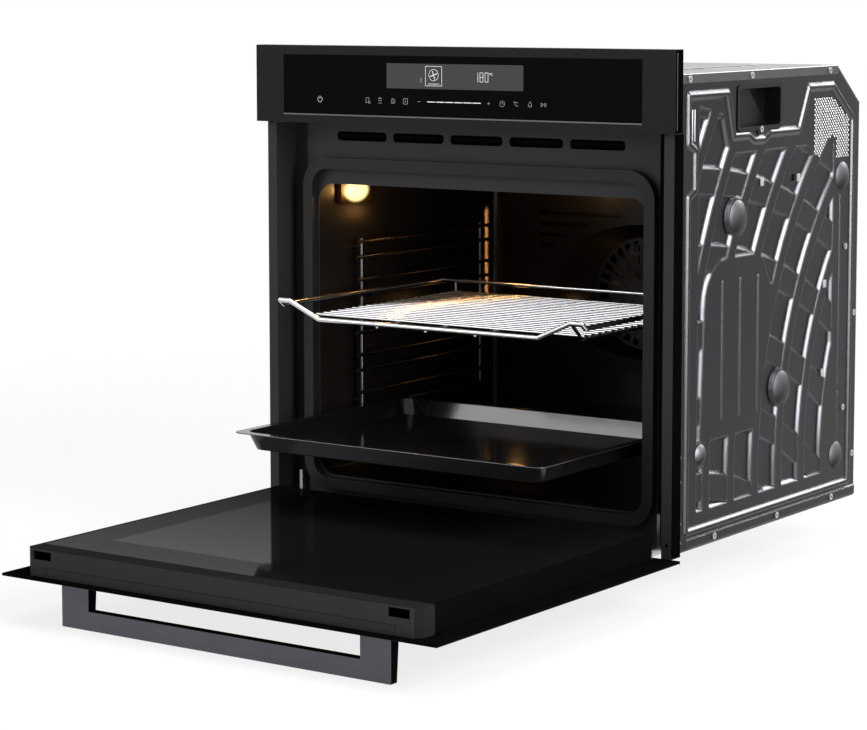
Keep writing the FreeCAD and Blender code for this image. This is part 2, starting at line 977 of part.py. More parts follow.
def racks():
    """A welded wire ladder on each side wall: two posts, five pairs of rails, wall studs."""
    start = face + S.rack_front
    low = S.rack_first - 4
    tall = S.rack_pitch * 4 + S.rack_guard + 8
    for name, sign in sides():
        wires = []
        for i, y in enumerate((start, start + S.rack_length)):
            wires.append(rod(f"{name}_post_{i}", S.rack_wire, (S.rack_post * sign, y, low), tall))
            for j, lift in enumerate((12, tall - 12)):
                tip = S.cavity_width / 2 - 0.2
                base = S.rack_post if sign > 0 else -tip
                wires.append(
                    rod(f"{name}_stud_{i}{j}", S.rack_wire, (base, y, low + lift),
                        tip - S.rack_post, "X")
                )
        for i in range(5):
            for j in range(2):
                z = S.rack_first + S.rack_pitch * i + S.rack_guard * j
                wires.append(
                    rod(f"{name}_rail_{i}{j}", S.rack_wire,
                        (S.rack_rail * sign, start - 16 + 3 * j, z), S.rack_length + 32 - 6 * j, "Y")
                )
        name_node(fuse(f"rack_{name}", wires), f"rack_{name}")


racks()


def temperature_sensor():
    """A probe through the back wall, above the fan cover."""
    z = S.fan_rise + S.cover_height / 2 - 15
    x = S.cover_width / 2 + 26
    probe = rod("sensor_tip", 2.5, (x, cavity_rear - S.sensor_length, z), S.sensor_length - S.cavity_sheet, "Y")
    collar = rod("sensor_collar", 7, (x, cavity_rear - S.cavity_sheet - 2, z), 2, "Y")
    name_node(fuse("temperature_sensor", [probe, collar]), "temperature_sensor")


temperature_sensor()

# ---------------------------------------------------------------- outer casing


def base_panel():
    """The floor of the casing, with a folded edge along each side."""
    body = new_body("base_panel")
    wall = S.panel_sheet
    inner = side - wall
    start = face + S.groove_depth + S.frame_sheet + S.fit_gap
    nose = S.frame_width / 2 - S.frame_strip - S.groove_width - 3
    pad(
        body,
        "XY_Plane",
        0,
        wall,
        lambda s: outline(
            s,
            [
                (-inner, rear - wall),
                (-inner, start),
                (-nose, start),
                (-nose, face_back),
                (nose, face_back),
                (nose, start),
                (inner, start),
                (inner, rear - wall),
            ],
        ),
    )
    for sign in (-1, 1):
        low, high = span(sign, inner - wall, inner)
        pad(body, "XY_Plane", wall, 12, lambda s: rectangle(s, (low, high), (start, rear - 20)))


base_panel()


def side_outline():
    """The side panel's edge: a rectangle with its upper rear corner sloped off."""
    return [
        (panel_front, 0),
        (rear, 0),
        (rear, S.body_height - S.slope_rise),
        (rear - S.slope_run, S.body_height),
        (panel_front, S.body_height),
    ]


def ring_tools(centre, first, pitch, width, count, depth, grow):
    """Grooves with sloped walls along concentric circles, cut into the plane x = 0 towards -x.

    With grow, each groove is the outside of a sheet that follows the groove at that thickness.
    """
    shift = grow * (math.sqrt(2) - 1)
    rings = []
    for i in range(count):
        inner = first + pitch * i
        outer = inner + width
        section = [
            Vector(-grow, 0, inner - shift),
            Vector(-depth - grow, 0, inner + depth - shift),
            Vector(-depth - grow, 0, outer - depth + shift),
            Vector(-grow, 0, outer + shift),
        ]
        face_shape = Part.Face(Part.makePolygon(section + section[:1]))
        ring = face_shape.revolve(Vector(0, 0, 0), Vector(1, 0, 0), 360)
        ring.translate(Vector(0, *centre))
        rings.append(ring)
    return Part.makeCompound(rings)


# Domes on the side panels: distance behind the front edge, height, radius.
side_domes = (
    (151, 382, 20),
    (267, 165, 20),
    (427, 414, 18),
    (419, 59, 17),
    (65, 109, 12),
)


def expanded(points, amount):
    """The corners of a counter-clockwise outline with every edge moved outwards."""
    moved = []
    for i, (y, z) in enumerate(points):
        before, after = points[i - 1], points[(i + 1) % len(points)]
        first = Vector(0, z - before[1], before[0] - y).normalize()
        second = Vector(0, after[1] - z, y - after[0]).normalize()
        push = (first + second) * (amount / (1 + first.dot(second)))
        moved.append((y + push.y, z + push.z))
    return moved


def sloped_block(points, grow, land):
    """The hollow under an outline with 45 degree walls, or the land that stands in a hollow."""
    rings = []
    for x in (1.0, -S.cell_depth.value - grow - 1):
        lean = grow * math.sqrt(2) + x
        ring = [
            Vector(x, panel_front.value + y, z)
            for y, z in expanded(points, -lean if land else lean)
        ]
        rings.append(ring + ring[:1])
    outer, inner = rings
    walls = [
        [outer[i], inner[i], inner[i + 1], outer[i + 1], outer[i]] for i in range(len(points))
    ]
    faces = [Part.Face(Part.makePolygon(corners)) for corners in rings + walls]
    return Part.makeSolid(Part.makeShell(faces))


def relief_outline():
    """Where the pressed cells may lie: behind the bead, below the hold and the air holes."""
    near, far = S.relief_front.value, S.relief_rear.value
    low, high = S.relief_bottom.value, S.relief_top.value
    return [
        (near, low), (far, low), (far, high), (far - 12, high + 8), (far - 42, high - 18),
        (far - 74, high), (near + 74, high), (near + 73, high + 7), (near + 60, high + 46),
        (near, high + 58),
    ]


def blank_outline():
    """The raised field with an arched shoulder that the cells leave free."""
    near, low = S.relief_front.value, S.relief_bottom.value
    radius = S.arch_radius.value
    centre = (near + 70, low + 240)
    arch = [
        (centre[0] - radius * math.sin(turn), centre[1] + radius * math.cos(turn))
        for turn in (math.radians(15 * i) for i in range(7))
    ]
    return [
        (near + 9, low + 81), (near + 148, low + 81), (near + 159, low + 148),
        (near + 173, low + 198), (near + 193, low + 251), (near + 178, low + 255),
        (near + 160, low + 286), (near + 145, low + 293),
    ] + arch + [(near + 9, low + 98)]


def relief_region(grow):
    """The relief's outline without the blank field and the lands around the domes."""
    deep = S.cell_depth.value + 4
    lands = [
        Part.makeCylinder(
            radius + 4 - grow, deep + 4, Vector(-deep - 1, panel_front.value + y, z), Vector(1, 0, 0)
        )
        for y, z, radius in side_domes
    ]
    hollow = sloped_block(relief_outline(), grow, False)
    return hollow.cut([sloped_block(blank_outline(), grow, True)] + lands)


def relief_cells(grow):
    """A fan of shallow curved grooves, deepened to cells where flatter ones cross them."""
    y0 = panel_front.value
    fan = (y0 + S.fan_centre_run.value, S.fan_centre_rise.value)
    bars = (y0 + S.bar_centre_run.value, -S.bar_centre_drop.value)
    pitch, width = S.fan_pitch.value, S.fan_cell.value
    region = relief_region(grow)
    cells = ring_tools(fan, S.fan_first.value, pitch, width, 8, S.cell_depth.value, grow)
    crossing = ring_tools(
        bars, S.bar_first.value - S.bar_pitch.value, S.bar_pitch.value, S.bar_cell.value, 6,
        S.cell_depth.value, grow,
    )
    trim = 0.4
    shallow = ring_tools(
        fan, S.fan_first.value + trim, pitch, width - 2 * trim, 8, S.bar_depth.value, grow
    )
    return [cells.common(crossing).common(region), shallow.common(region)]


def sweep_bead(points, width, high):
    """A raised bead along an open or closed run of straight pieces."""
    half = width / 2
    pieces = []
    for (y0, z0), (y1, z1) in zip(points, points[1:]):
        along = Vector(0, y1 - y0, z1 - z0)
        length = along.Length
        section = Part.makePolygon(
            [
                Vector(0, 0, -half),
                Vector(high, 0, -half + high),
                Vector(high, 0, half - high),
                Vector(0, 0, half),
                Vector(0, 0, -half),
            ]
        )
        strip = Part.Face(section).extrude(Vector(0, length, 0))
        angle = math.degrees(math.atan2(z1 - z0, y1 - y0))
        strip.rotate(Vector(0, 0, 0), Vector(1, 0, 0), angle)
        strip.translate(Vector(0, y0, z0))
        pieces.append(strip)
    for y, z in points[1:-1]:
        dot = Part.makeCone(half, half - high, high, Vector(0, y, z), Vector(1, 0, 0))
        pieces.append(dot)
    return pieces


def side_panel_shape():
    """The right-hand panel: sheet, pressed cells, perimeter bead and domes."""
    wall = S.panel_sheet.value
    y0 = panel_front.value
    corners = [Vector(0, size(y).value, size(z).value) for y, z in side_outline()]
    plate = Part.Face(Part.makePolygon(corners + corners[:1])).extrude(Vector(-wall, 0, 0))
    hold_y = y0 + S.hold_run.value
    hold_z = S.hold_rise.value
    wide, tall = S.hold_width.value, S.hold_height.value
    back, top = rear.value, S.body_height.value
    middle = hold_y + wide / 2
    margin = 18
    run = [
        (y0 + 31, margin + 3),
        (y0 + 31, 412),
        (y0 + 47, 420),
        (y0 + 47, 466),
        (y0 + 31, 474),
        (y0 + 31, top - 25),
        (hold_y - 26, top - 25),
        (hold_y - 10, hold_z - 8),
        (middle - 28, hold_z - 8),
        (middle - 13, hold_z - 15),
        (middle + 13, hold_z - 15),
        (middle + 28, hold_z - 8),
        (hold_y + wide + 50, hold_z - 8),
        (hold_y + wide + 76, top - 25),
        (back - S.slope_run.value - 12, top - 25),
        (back - 19, top - S.slope_rise.value - 19),
        (back - 19, margin + 3),
        (y0 + 31, margin + 3),
    ]
    panel = plate
    for outside in relief_cells(wall):
        panel = panel.fuse(outside)
    for inside in relief_cells(0.0):
        panel = panel.cut(inside)
    domes = []
    rise = S.dome_height.value
    for y, z, radius in side_domes:
        ball = (radius ** 2 + rise ** 2) / (2 * rise)
        cap = Part.makeSphere(ball, Vector(rise - ball, y0 + y, z))
        keep = Part.makeBox(wall + 20, 60, 60, Vector(-wall, y0 + y - 30, z - 30))
        domes.append(cap.common(keep).common(Part.makeCylinder(
            radius, wall + 20, Vector(-wall, y0 + y, z), Vector(1, 0, 0))))
    lines = []
    near, low = y0 + S.relief_front.value, S.relief_bottom.value
    for y in (near + 59, near + 103, near + 148):
        lines += sweep_bead([(y, low + 103), (y, low + 266)], S.line_width.value, S.line_height.value)
    for y, z0, z1 in ((near + 365, low + 108, low + 348), (near + 365, low + 43, low + 98)):
        lines += sweep_bead([(y, z0), (y, z1)], S.line_width.value, S.line_height.value)
    flange = Part.makeBox(
        S.flange_sheet.value, back - y0 - 34, S.flange_height.value, Vector(0, y0 + 34, 2)
    )
    bead = sweep_bead(run, S.bead_width.value, S.bead_height.value)
    panel = panel.fuse(bead + domes + lines + [flange])
    hold = Part.makeBox(wall + 8, wide, tall, Vector(-wall - 4, hold_y, hold_z))
    panel = panel.cut(hold.makeFillet(6, [e for e in hold.Edges if abs(e.tangentAt(0).x) > 0.9]))
    return panel.removeSplitter()


def side_panels():
    """Both side panels and the plastic bowls of their lifting holds."""
    shape = side_panel_shape()
    for name, sign in sides():
        panel = doc.addObject("Part::Feature", f"side_panel_{name}")
        panel.Shape = shape if sign > 0 else shape.mirror(Vector(), Vector(1, 0, 0))
        panel.Placement.Base = Vector(sign * side.value, 0, 0)
        name_node(panel, f"side_panel_{name}")

        bowl = new_body(f"hold_bowl_{name}")
        run = panel_front + S.hold_run
        gap = S.fit_gap

        def frame(inset):
            return lambda s: rounded(
                s,
                (run + inset, run + S.hold_width - inset),
                (S.hold_rise + inset, S.hold_rise + S.hold_height - inset),
                6,
            )

        low, high = span(sign, side - S.hold_depth, side)
        pad(bowl, "YZ_Plane", low, S.hold_depth, frame(gap))
        inner = low + S.hold_wall if sign > 0 else low
        pocket(bowl, "YZ_Plane", inner, S.hold_depth - S.hold_wall, frame(gap + S.hold_wall))
        lip_low, lip_high = span(sign, side, side + 1.2)
        pad(bowl, "YZ_Plane", lip_low, 1.2, frame(-3))
        tab = (run + S.hold_width / 2, S.hold_rise - 2)
        pad(bowl, "YZ_Plane", lip_low, 1.2, lambda s: circle(s, tab, 7))
        pocket(bowl, "YZ_Plane", lip_low, 1.2, frame(gap + S.hold_wall))
        floor = low + S.hold_wall if sign > 0 else high - S.hold_wall - 6
        skin = gap + S.hold_wall / 2
        crest = S.hold_rise + S.hold_height
        fold = [
            (run + skin + 3, S.hold_rise + skin),
            (run + S.hold_width * 0.93, S.hold_rise + skin),
            (run + S.hold_width * 0.46, crest - skin),
            (run + skin + 3, crest - skin),
            (run + skin, crest - skin - 3),
            (run + skin, S.hold_rise + skin + 3),
        ]
        pad(bowl, "YZ_Plane", floor, 6, lambda s: outline(s, fold))


side_panels()


def rear_panel():
    """The back: an upright sheet that leans forward at the top, between the side panels."""
    wall = S.panel_sheet
    inner = side - wall
    bend = S.body_height - S.slope_rise
    run, rise = S.slope_run, S.slope_rise
    slant = Size(math.hypot(run.value, rise.value), f"sqrt(({run.text})^2 + ({rise.text})^2)")
    end = (rear - run, bend + rise)
    section = [
        (rear, 0),
        (rear, bend),
        end,
        (end[0] - rise / slant * wall, end[1] - run / slant * wall),
        (rear - wall, bend - wall * 0.5),
        (rear - wall, 0),
    ]
    body = new_body("rear_panel")
    pad(body, "YZ_Plane", -inner, inner * 2, lambda s: outline(s, section))


rear_panel()


def terminal_cover():
    """A shallow black dome over the mains terminals, on the back near its right edge."""
    radius, reach = S.terminal_radius, S.terminal_reach
    ball = (radius * radius + reach * reach) / (reach * 2)
    share = (ball - reach) / ball
    dome = doc.addObject("Part::Sphere", "terminal_cover")
    bind(dome, "Radius", ball)
    dome.Angle2 = 90
    bind(dome, "Angle1", Size(math.degrees(math.asin(share.value)), f"asin({share.text})"))
    place(dome, (side - S.terminal_inset, rear + reach - ball, S.terminal_rise), "Y")
    name_node(dome, "terminal_cover")


terminal_cover()


def top_cover():
    """The lid: edges folded down over the side panels, and two stiffening beads."""
    body = new_body("top_cover")
    wall = S.panel_sheet
    half = side + S.fit_gap
    top = S.body_height
    end = rear - S.slope_run - 0.8
    length = end - panel_front
    pad(body, "XZ_Plane", panel_front, length,
        lambda s: rounded(s, (-half - wall, half + wall), (top - 20, top + wall), 1.3))
    pocket(body, "XZ_Plane", panel_front, length,
           lambda s: rounded(s, (-half, half), (top - 20 - wall, top), 0.3))
    pocket(body, "XZ_Plane", panel_front, length,
           lambda s: rectangle(s, (-half - 5, half + 5), (top - 25, top - S.lid_fold)))
    for x in (-150, 150):
        pad(body, "XY_Plane", top + wall, 1.5,
            lambda s: rounded(s, (x - 60, x + 60), (panel_front + 60, end - 60), 12))


top_cover()

# ---------------------------------------------------------------- air path and electrics


def chassis_plate():
    """The shelf above the wool that carries the blower and the boards."""
    body = new_body("chassis_plate")
    start = face + S.groove_depth + S.frame_sheet + S.fit_gap
    nose = S.frame_width / 2 - S.frame_strip - S.groove_width - 3
    wide = S.chassis_width / 2
    pad(
        body,
        "XY_Plane",
        S.chassis_rise,
        S.panel_sheet,
        lambda s: outline(
            s,
            [
                (-wide, rear - S.panel_sheet),
                (-wide, start),
                (-nose, start),
                (-nose, face_back),
                (nose, face_back),
                (nose, start),
                (wide, start),
                (wide, rear - S.panel_sheet),
            ],
        ),
    )


chassis_plate()
deck = S.chassis_rise + S.panel_sheet


def air_duct():
    """A flat channel from the blower to the slots in the face."""
    body = new_body("air_duct")
    wall = S.duct_sheet
    half = S.duct_width / 2
    mouth = S.blower_length / 2 - 4
    pad(body, "XZ_Plane", face_back, S.duct_depth,
        lambda s: rectangle(s, (-half, half), (deck, deck + S.duct_height)))
    pocket(body, "XZ_Plane", face_back, S.duct_depth - wall,
           lambda s: rectangle(s, (-half + wall, half - wall), (deck + wall, deck + S.duct_height - wall)))
    pocket(body, "XZ_Plane", face_back + S.duct_depth - wall, wall,
           lambda s: rectangle(s, (-mouth, mouth), (deck + wall, deck + S.duct_height - wall)))


air_duct()


def blower():
    """A cross-flow blower: box, drum-shaped rotor on an axle, and its motor at one end."""
    start = face_back + S.duct_depth
    half = S.blower_length / 2
    wall = S.duct_sheet
    middle_y = start + S.blower_depth / 2
    middle_z = deck + S.blower_height / 2
    box = new_body("blower_housing")
    pad(box, "XY_Plane", deck, S.blower_height,
        lambda s: rectangle(s, (-half, half), (start, start + S.blower_depth)))
    pocket(box, "XY_Plane", deck + wall, S.blower_height - 2 * wall,
           lambda s: rectangle(s, (-half + wall, half - wall), (start + wall, start + S.blower_depth - wall)))
    pocket(box, "XZ_Plane", start, wall,
           lambda s: rectangle(s, (-half + 4, half - 4), (deck + wall, deck + S.duct_height - wall)))
    pocket(box, "XY_Plane", deck + S.blower_height - wall, wall,
           lambda s: rectangle(s, (-half + 20, half - 20), (middle_y - 24, middle_y + 24)))
    pocket(box, "YZ_Plane", half - wall, wall,
           lambda s: circle(s, (middle_y, middle_z), S.axle_radius + 1))

    reach = half - 8
    parts_list = []
    for name, x in (("left", -reach), ("middle", -1), ("right", reach - 2)):
        parts_list.append(rod(f"rotor_disc_{name}", S.rotor_radius, (x, middle_y, middle_z), 2, "X"))
    for i in range(16):
        angle = 2 * math.pi * i / 16
        ring_at = S.rotor_radius - 1.5
        parts_list.append(
            rod(
                f"rotor_blade_{i}",
                1.2,
                (
                    -reach + 1,
                    middle_y + ring_at * round(math.cos(angle), 6),
                    middle_z + ring_at * round(math.sin(angle), 6),
                ),
                2 * reach - 2,
                "X",
            )
        )
    axle_end = half + S.blower_motor - 6
    parts_list.append(rod("rotor_axle", S.axle_radius, (-reach, middle_y, middle_z), reach + axle_end, "X"))
    name_node(fuse("blower_rotor", parts_list), "blower_rotor")

    can = rod("blower_can", 26, (half, middle_y, middle_z), S.blower_motor, "X")
    foot = block(
        "blower_foot",
        (half, half + S.blower_motor),
        (middle_y - 16, middle_y + 16),
        (deck, middle_z),
    )
    bore = rod("blower_bore", S.axle_radius + S.running_fit, (half, middle_y, middle_z), S.blower_motor - 4, "X")
    name_node(cut("blower_motor", fuse("blower_motor_solid", [can, foot]), [bore]), "blower_motor")


blower()


def electrics():
    """The power board in a plastic tray, and the terminal block for the house wiring."""
    near = face_back + S.duct_depth + 6
    tray = block("power_tray", (-250, -138), (near, near + 110), (deck, deck + 8))
    well = block("power_well", (-248, -140), (near + 2, near + 108), (deck + 2, deck + 8))
    name_node(cut("board_tray", tray, [well]), "board_tray")
    card = block("power_card", (-247, -141), (near + 3, near + 107), (deck + 2, deck + 3.6))
    bricks = []
    for i, (x, y, wide, deep, tall) in enumerate(
        ((-240, 12, 28, 34, 30), (-205, 12, 18, 18, 22), (-180, 14, 14, 26, 16), (-240, 66, 20, 20, 24),
         (-210, 66, 20, 20, 24), (-176, 60, 12, 36, 12))
    ):
        bricks.append(
            block(f"power_brick_{i}", (x, x + wide), (near + y, near + y + deep), (deck + 3.6, deck + 3.6 + tall))
        )
    name_node(fuse("power_board", [card] + bricks), "power_board")

    end = rear - S.panel_sheet
    base = block("terminal_base", (150, 222), (end - 28, end), (deck, deck + 20))
    ways = [
        block(f"terminal_way_{i}", (155 + 13 * i, 164 + 13 * i), (end - 24, end - 6), (deck + 8, deck + 20))
        for i in range(5)
    ]
    name_node(cut("terminal_block", base, ways), "terminal_block")


electrics()

# ---------------------------------------------------------------- control panel


def control_panel():
    """Steel fascia with a glass in its window, and what sits behind the glass."""
    wall = S.fascia_wall
    half = S.front_width / 2
    pane = S.glass_width / 2
    low = fascia_bottom + S.glass_rise
    high = low + S.glass_height
    ledge = 5

    fascia = new_body("control_fascia")
    pad(fascia, "XZ_Plane", front, S.fascia_depth,
        lambda s: rectangle(s, (-half, half), (fascia_bottom, fascia_top)))
    pocket(fascia, "XZ_Plane", front + wall, S.fascia_depth - wall,
           lambda s: rectangle(s, (-half + wall, half - wall), (fascia_bottom + wall, fascia_top - wall)))
    pad(fascia, "XZ_Plane", front + wall, S.glass_sheet,
        lambda s: rectangle(s, (-pane - ledge, pane + ledge), (low - ledge, high + ledge)))
    pocket(fascia, "XZ_Plane", front, S.glass_sheet,
           lambda s: rectangle(s, (-pane, pane), (low, high)))
    pocket(fascia, "XZ_Plane", front + S.glass_sheet, wall,
           lambda s: rectangle(s, (-pane + ledge, pane - ledge), (low + ledge, high - ledge)))

    gap = S.fit_gap
    glass = block("control_glass", (-pane + gap, pane - gap), (front, front + S.glass_sheet),
                  (low + gap, high - gap))
    name_node(glass, "control_glass")
    trim = block("glass_strip", (-pane, pane), (front - 0.6, front), (low - S.strip_height, low))
    name_node(trim, "glass_strip")

    centre = S.display_width / 2
    screen_low = low + S.display_rise
    inner = front + S.glass_sheet
    screen = block("display_module", (-centre, centre), (inner, inner + wall - 0.1),
                   (screen_low, screen_low + S.display_height))
    name_node(screen, "display_module")
    card = block("touch_card", (-230, 230), (inner + 8, inner + 9.6), (low + 8, low + 46))
    pads_list = [
        block(f"touch_pad_{i}", (x - 7, x + 7), (inner, inner + 8), (low + 10, low + 26))
        for i, x in enumerate((-199, -127, -92, -52, 0, 48, 86, 123))
    ]
    name_node(fuse("control_board", [card] + pads_list), "control_board")

    box_half = S.housing_width / 2
    box_low = fascia_bottom + 7
    box_high = S.body_height - S.panel_sheet - 1
    box_front = front + wall + S.glass_sheet
    outer = block("housing_outer", (-box_half, box_half), (box_front, face), (box_low, box_high))
    hollow = block("housing_hollow", (-box_half + 2, box_half - 2), (box_front, face - 2),
                   (box_low + 2, box_high - 2))
    shell = cut("housing_shell", outer, [hollow])
    posts = [
        rod(f"housing_post_{i}", 4, (x, inner + 9.6, z), face - 1 - inner - 9.6, "Y")
        for i, (x, z) in enumerate(
            ((-220, low + 14), (-220, low + 44), (220, low + 14), (220, low + 44))
        )
    ]
    name_node(fuse("control_housing", [shell] + posts), "control_housing")


control_panel()

# ---------------------------------------------------------------- door


def door_panes():
    """Outer panel, middle glass and inner glass of the open door."""
    half = S.front_width / 2
    bottom = -S.front_drop
    sheet_body = new_body("door_outer_panel")
    base = level(0)
    pad(sheet_body, "XY_Plane", base, S.door_skin,
        lambda s: rectangle(s, (-half, half), (swung(door_top), swung(bottom))))
    grip = door_top - S.handle_inset - S.handle_sheet / 2
    for sign in (-1, 1):
        x = (S.handle_half - S.handle_post / 2) * sign
        pocket(sheet_body, "XY_Plane", base, S.door_skin,
               lambda s: circle(s, (x, swung(grip)), S.handle_screw + 0.2))

    rail_top = S.door_body_bottom + S.rail_height
    trim_top = door_top - S.trim_top_gap
    middle = block("door_middle_glass", *on_door(
        (-S.pane_half, S.pane_half),
        (rail_top, trim_top - S.trim_wall),
        (S.pane_level, S.pane_level + S.pane_sheet),
    ))
    name_node(middle, "door_middle_glass")
    inside = S.door_body_width / 2 - 4
    inner = block("door_inner_glass", *on_door(
        (-inside, inside),
        (S.door_body_bottom, trim_top - S.trim_height - S.fit_gap),
        (S.door_depth - S.pane_sheet, S.door_depth),
    ))
    name_node(inner, "door_inner_glass")


door_panes()


def door_frame():
    """Side profiles, bottom rail and top trim between the panes."""
    half = S.door_body_width / 2
    wall = S.profile_wall
    inner_face = S.door_depth - S.pane_sheet
    trim_top = door_top - S.trim_top_gap
    trim_low = trim_top - S.trim_height
    low = S.door_body_bottom
    for name, sign in sides():
        web = block(f"profile_web_{name}", *on_door(
            span(sign, half - wall, half), (low, trim_low), (S.door_skin, S.door_depth)))
        lip = block(f"profile_lip_{name}", *on_door(
            span(sign, half - 2 * wall - 2, half - wall), (low, trim_low), (inner_face - 2, inner_face)))
        foot = block(f"profile_foot_{name}", *on_door(
            span(sign, half - wall, half + 8), (low, trim_low), (S.door_skin, S.door_skin + 1.5)))
        name_node(fuse(f"door_profile_{name}", [web, lip, foot]), f"door_profile_{name}")

    rail = block("rail_solid", *on_door(
        (-S.pane_half, S.pane_half), (low, low + S.rail_height), (S.door_skin, inner_face)))
    rail_hollow = block("rail_hollow", *on_door(
        (2 - S.pane_half, S.pane_half - 2), (low - 1, low + S.rail_height - 2), (S.door_skin + 2, inner_face - 2)))
    name_node(cut("door_bottom_rail", rail, [rail_hollow]), "door_bottom_rail")

    trim = new_body("door_top_trim")
    chamfer = S.trim_chamfer
    end, root = swung(trim_top), swung(trim_low)
    floor, roof = level(S.door_skin), level(S.door_depth)
    pad(
        trim,
        "XY_Plane",
        floor,
        S.door_depth - S.door_skin,
        lambda s: outline(
            s,
            [
                (-half + chamfer, end),
                (half - chamfer, end),
                (half, end + chamfer),
                (half, root),
                (-half, root),
                (-half, end + chamfer),
            ],
        ),
    )
    thick = S.trim_wall
    hollow_half = half - chamfer - 1
    pocket(trim, "XY_Plane", floor, S.door_depth - S.door_skin - thick,
           lambda s: rectangle(s, (-hollow_half, hollow_half), (end + thick, root)))

    def windows(sketch):
        for sign in (-1, 1):
            outer_x = half - S.trim_window_inset
            rectangle(
                sketch,
                ((outer_x - S.trim_window) * sign, outer_x * sign),
                (roof - 2 - S.trim_window_height, roof - 2),
            )

    pocket(trim, "XZ_Plane", end, thick, windows)


door_frame()


def door_handle():
    """A flat bar on two posts, thinner towards its outer edge, and the screws that hold it."""
    handle = new_body("door_handle")
    top = door_top - S.handle_inset
    root = S.handle_sheet + 1
    tip = S.handle_sheet - 3
    pad(
        handle,
        "YZ_Plane",
        -S.handle_half,
        2 * S.handle_half,
        lambda s: outline(
            s,
            [
                (swung(top), level(0)),
                (swung(top), level(0) - S.handle_reach),
                (swung(top - tip), level(0) - S.handle_reach),
                (swung(top - root), level(0)),
            ],
        ),
    )
    opening = S.handle_half - S.handle_post
    pocket(handle, "XZ_Plane", swung(top) - 1, root + 2,
           lambda s: rectangle(s, (-opening, opening),
                               (level(0) - S.handle_reach + S.handle_bar, level(0))))
    grip = top - S.handle_sheet / 2
    screws = []
    for name, sign in sides():
        x = (S.handle_half - S.handle_post / 2) * sign
        pocket(handle, "XY_Plane", level(-20), 20, lambda s: circle(s, (x, swung(grip)), S.handle_screw + 0.05))
        shank = rod(f"handle_shank_{name}", S.handle_screw, (x, swung(grip), level(-19)), 22 + 0.5)
        head = rod(f"handle_head_{name}", 4.5, (x, swung(grip), level(S.door_skin)), 3)
        screws.append(fuse(f"handle_screw_{name}", [shank, head]))
    name_node(group("handle_screws", screws), "handle_screws")


door_handle()


def hinges():
    """On each side: a receiver behind the frame, an arm hooked into it, a pin and a channel."""
    for name, sign in sides():
        arm_low, arm_high = S.arm_x, S.arm_x + S.arm_sheet
        floor_back = face + S.groove_depth + S.frame_sheet

        box_x = (S.arm_x - 5.5, S.arm_x + 10.5)
        shell = block(f"receiver_shell_{name}", span(sign, *box_x),
                      (floor_back, floor_back + 20), (hinge_z + 2, hinge_z + 62))
        well = block(f"receiver_well_{name}", span(sign, box_x[0] + 2, box_x[1] - 2),
                     (floor_back, floor_back + 18), (hinge_z + 4, hinge_z + 60))
        name_node(cut(f"hinge_receiver_{name}", shell, [well]), f"hinge_receiver_{name}")

        plate = span(sign, arm_low, arm_high)
        upright = front + 36.5
        strip = block(f"arm_strip_{name}", plate, (hinge_y, upright + 7.5), (hinge_z - 3.8, hinge_z + 4))
        post = block(f"arm_post_{name}", plate, (upright, upright + 7.5), (hinge_z - 3.8, hinge_z + 43))
        eye = rod(f"arm_eye_{name}", S.arm_eye, (plate[0], hinge_y, hinge_z), S.arm_sheet, "X")
        claws = []
        for i, (low, high) in enumerate(arm_claws):
            claws.append(block(f"arm_claw_{name}_{i}", plate, (upright + 7, floor_back + 6), (low, high)))
        low, high = arm_claws[0]
        hook = block(f"arm_hook_{name}", plate, (floor_back + 0.2, floor_back + 6), (low - 4, high))
        bore = rod(f"arm_bore_{name}", S.pin_radius + S.running_fit, (plate[0] - 1, hinge_y, hinge_z),
                   S.arm_sheet + 2, "X")
        solid = fuse(f"arm_solid_{name}", [strip, post, eye, hook] + claws)
        name_node(cut(f"hinge_arm_{name}", solid, [bore]), f"hinge_arm_{name}")

        cheek_a = S.arm_x - S.cheek_gap - S.cheek_sheet
        cheek_b = arm_high + S.cheek_gap
        pin_low, pin_high = span(sign, cheek_a - 1, cheek_b + S.cheek_sheet + 1)
        pin = rod(f"hinge_pin_{name}", S.pin_radius, (pin_low, hinge_y, hinge_z), pin_high - pin_low, "X")
        name_node(pin, f"hinge_pin_{name}")

        pieces = []
        for i, near in enumerate((cheek_a, cheek_b)):
            x = span(sign, near, near + S.cheek_sheet)
            foot = S.door_body_bottom
            pieces.append(block(f"cheek_{name}_{i}", *on_door(
                x, (foot, foot + S.channel_length - 8), (S.door_skin, S.channel_depth))))
            pieces.append(block(f"cheek_toe_{name}_{i}", *on_door(
                x, (hinge_z - 4.5, foot), (S.door_skin, S.hinge_setback + 4.2))))
        pieces.append(block(f"channel_web_{name}", *on_door(
            span(sign, cheek_a, cheek_b + S.cheek_sheet),
            (S.door_body_bottom, S.door_body_bottom + S.channel_length - 8),
            (S.channel_depth, S.channel_depth + S.cheek_sheet),
        )))
        hole = rod(f"channel_hole_{name}", S.pin_radius, (pin_low, hinge_y, hinge_z), pin_high - pin_low, "X")
        name_node(cut(f"hinge_channel_{name}", fuse(f"channel_solid_{name}", pieces), [hole]),
                  f"hinge_channel_{name}")


hinges()

# ---------------------------------------------------------------- shelf and tray


def strut(name, radius, start, end):
    """A round bar between two points, with a round end at each."""
    start = [size(c) for c in start]
    end = [size(c) for c in end]
    along = Vector(*(b.value - a.value for a, b in zip(start, end)))
    terms = " + ".join(f"({(b - a).text}) ^ 2" for a, b in zip(start, end))
    bar = doc.addObject("Part::Cylinder", name)
    bind(bar, "Radius", radius)
    bar.setExpression("Height", f"sqrt({terms})")
    bar.Placement.Rotation = FreeCAD.Rotation(Vector(0, 0, 1), along)
    for letter, amount in zip("xyz", start):
        bind(bar, f"Placement.Base.{letter}", amount)
    return bar


def knot(name, radius, at):
    """A ball that joins two bars."""
    ball = doc.addObject("Part::Sphere", name)
    bind(ball, "Radius", radius)
    return place(ball, at)


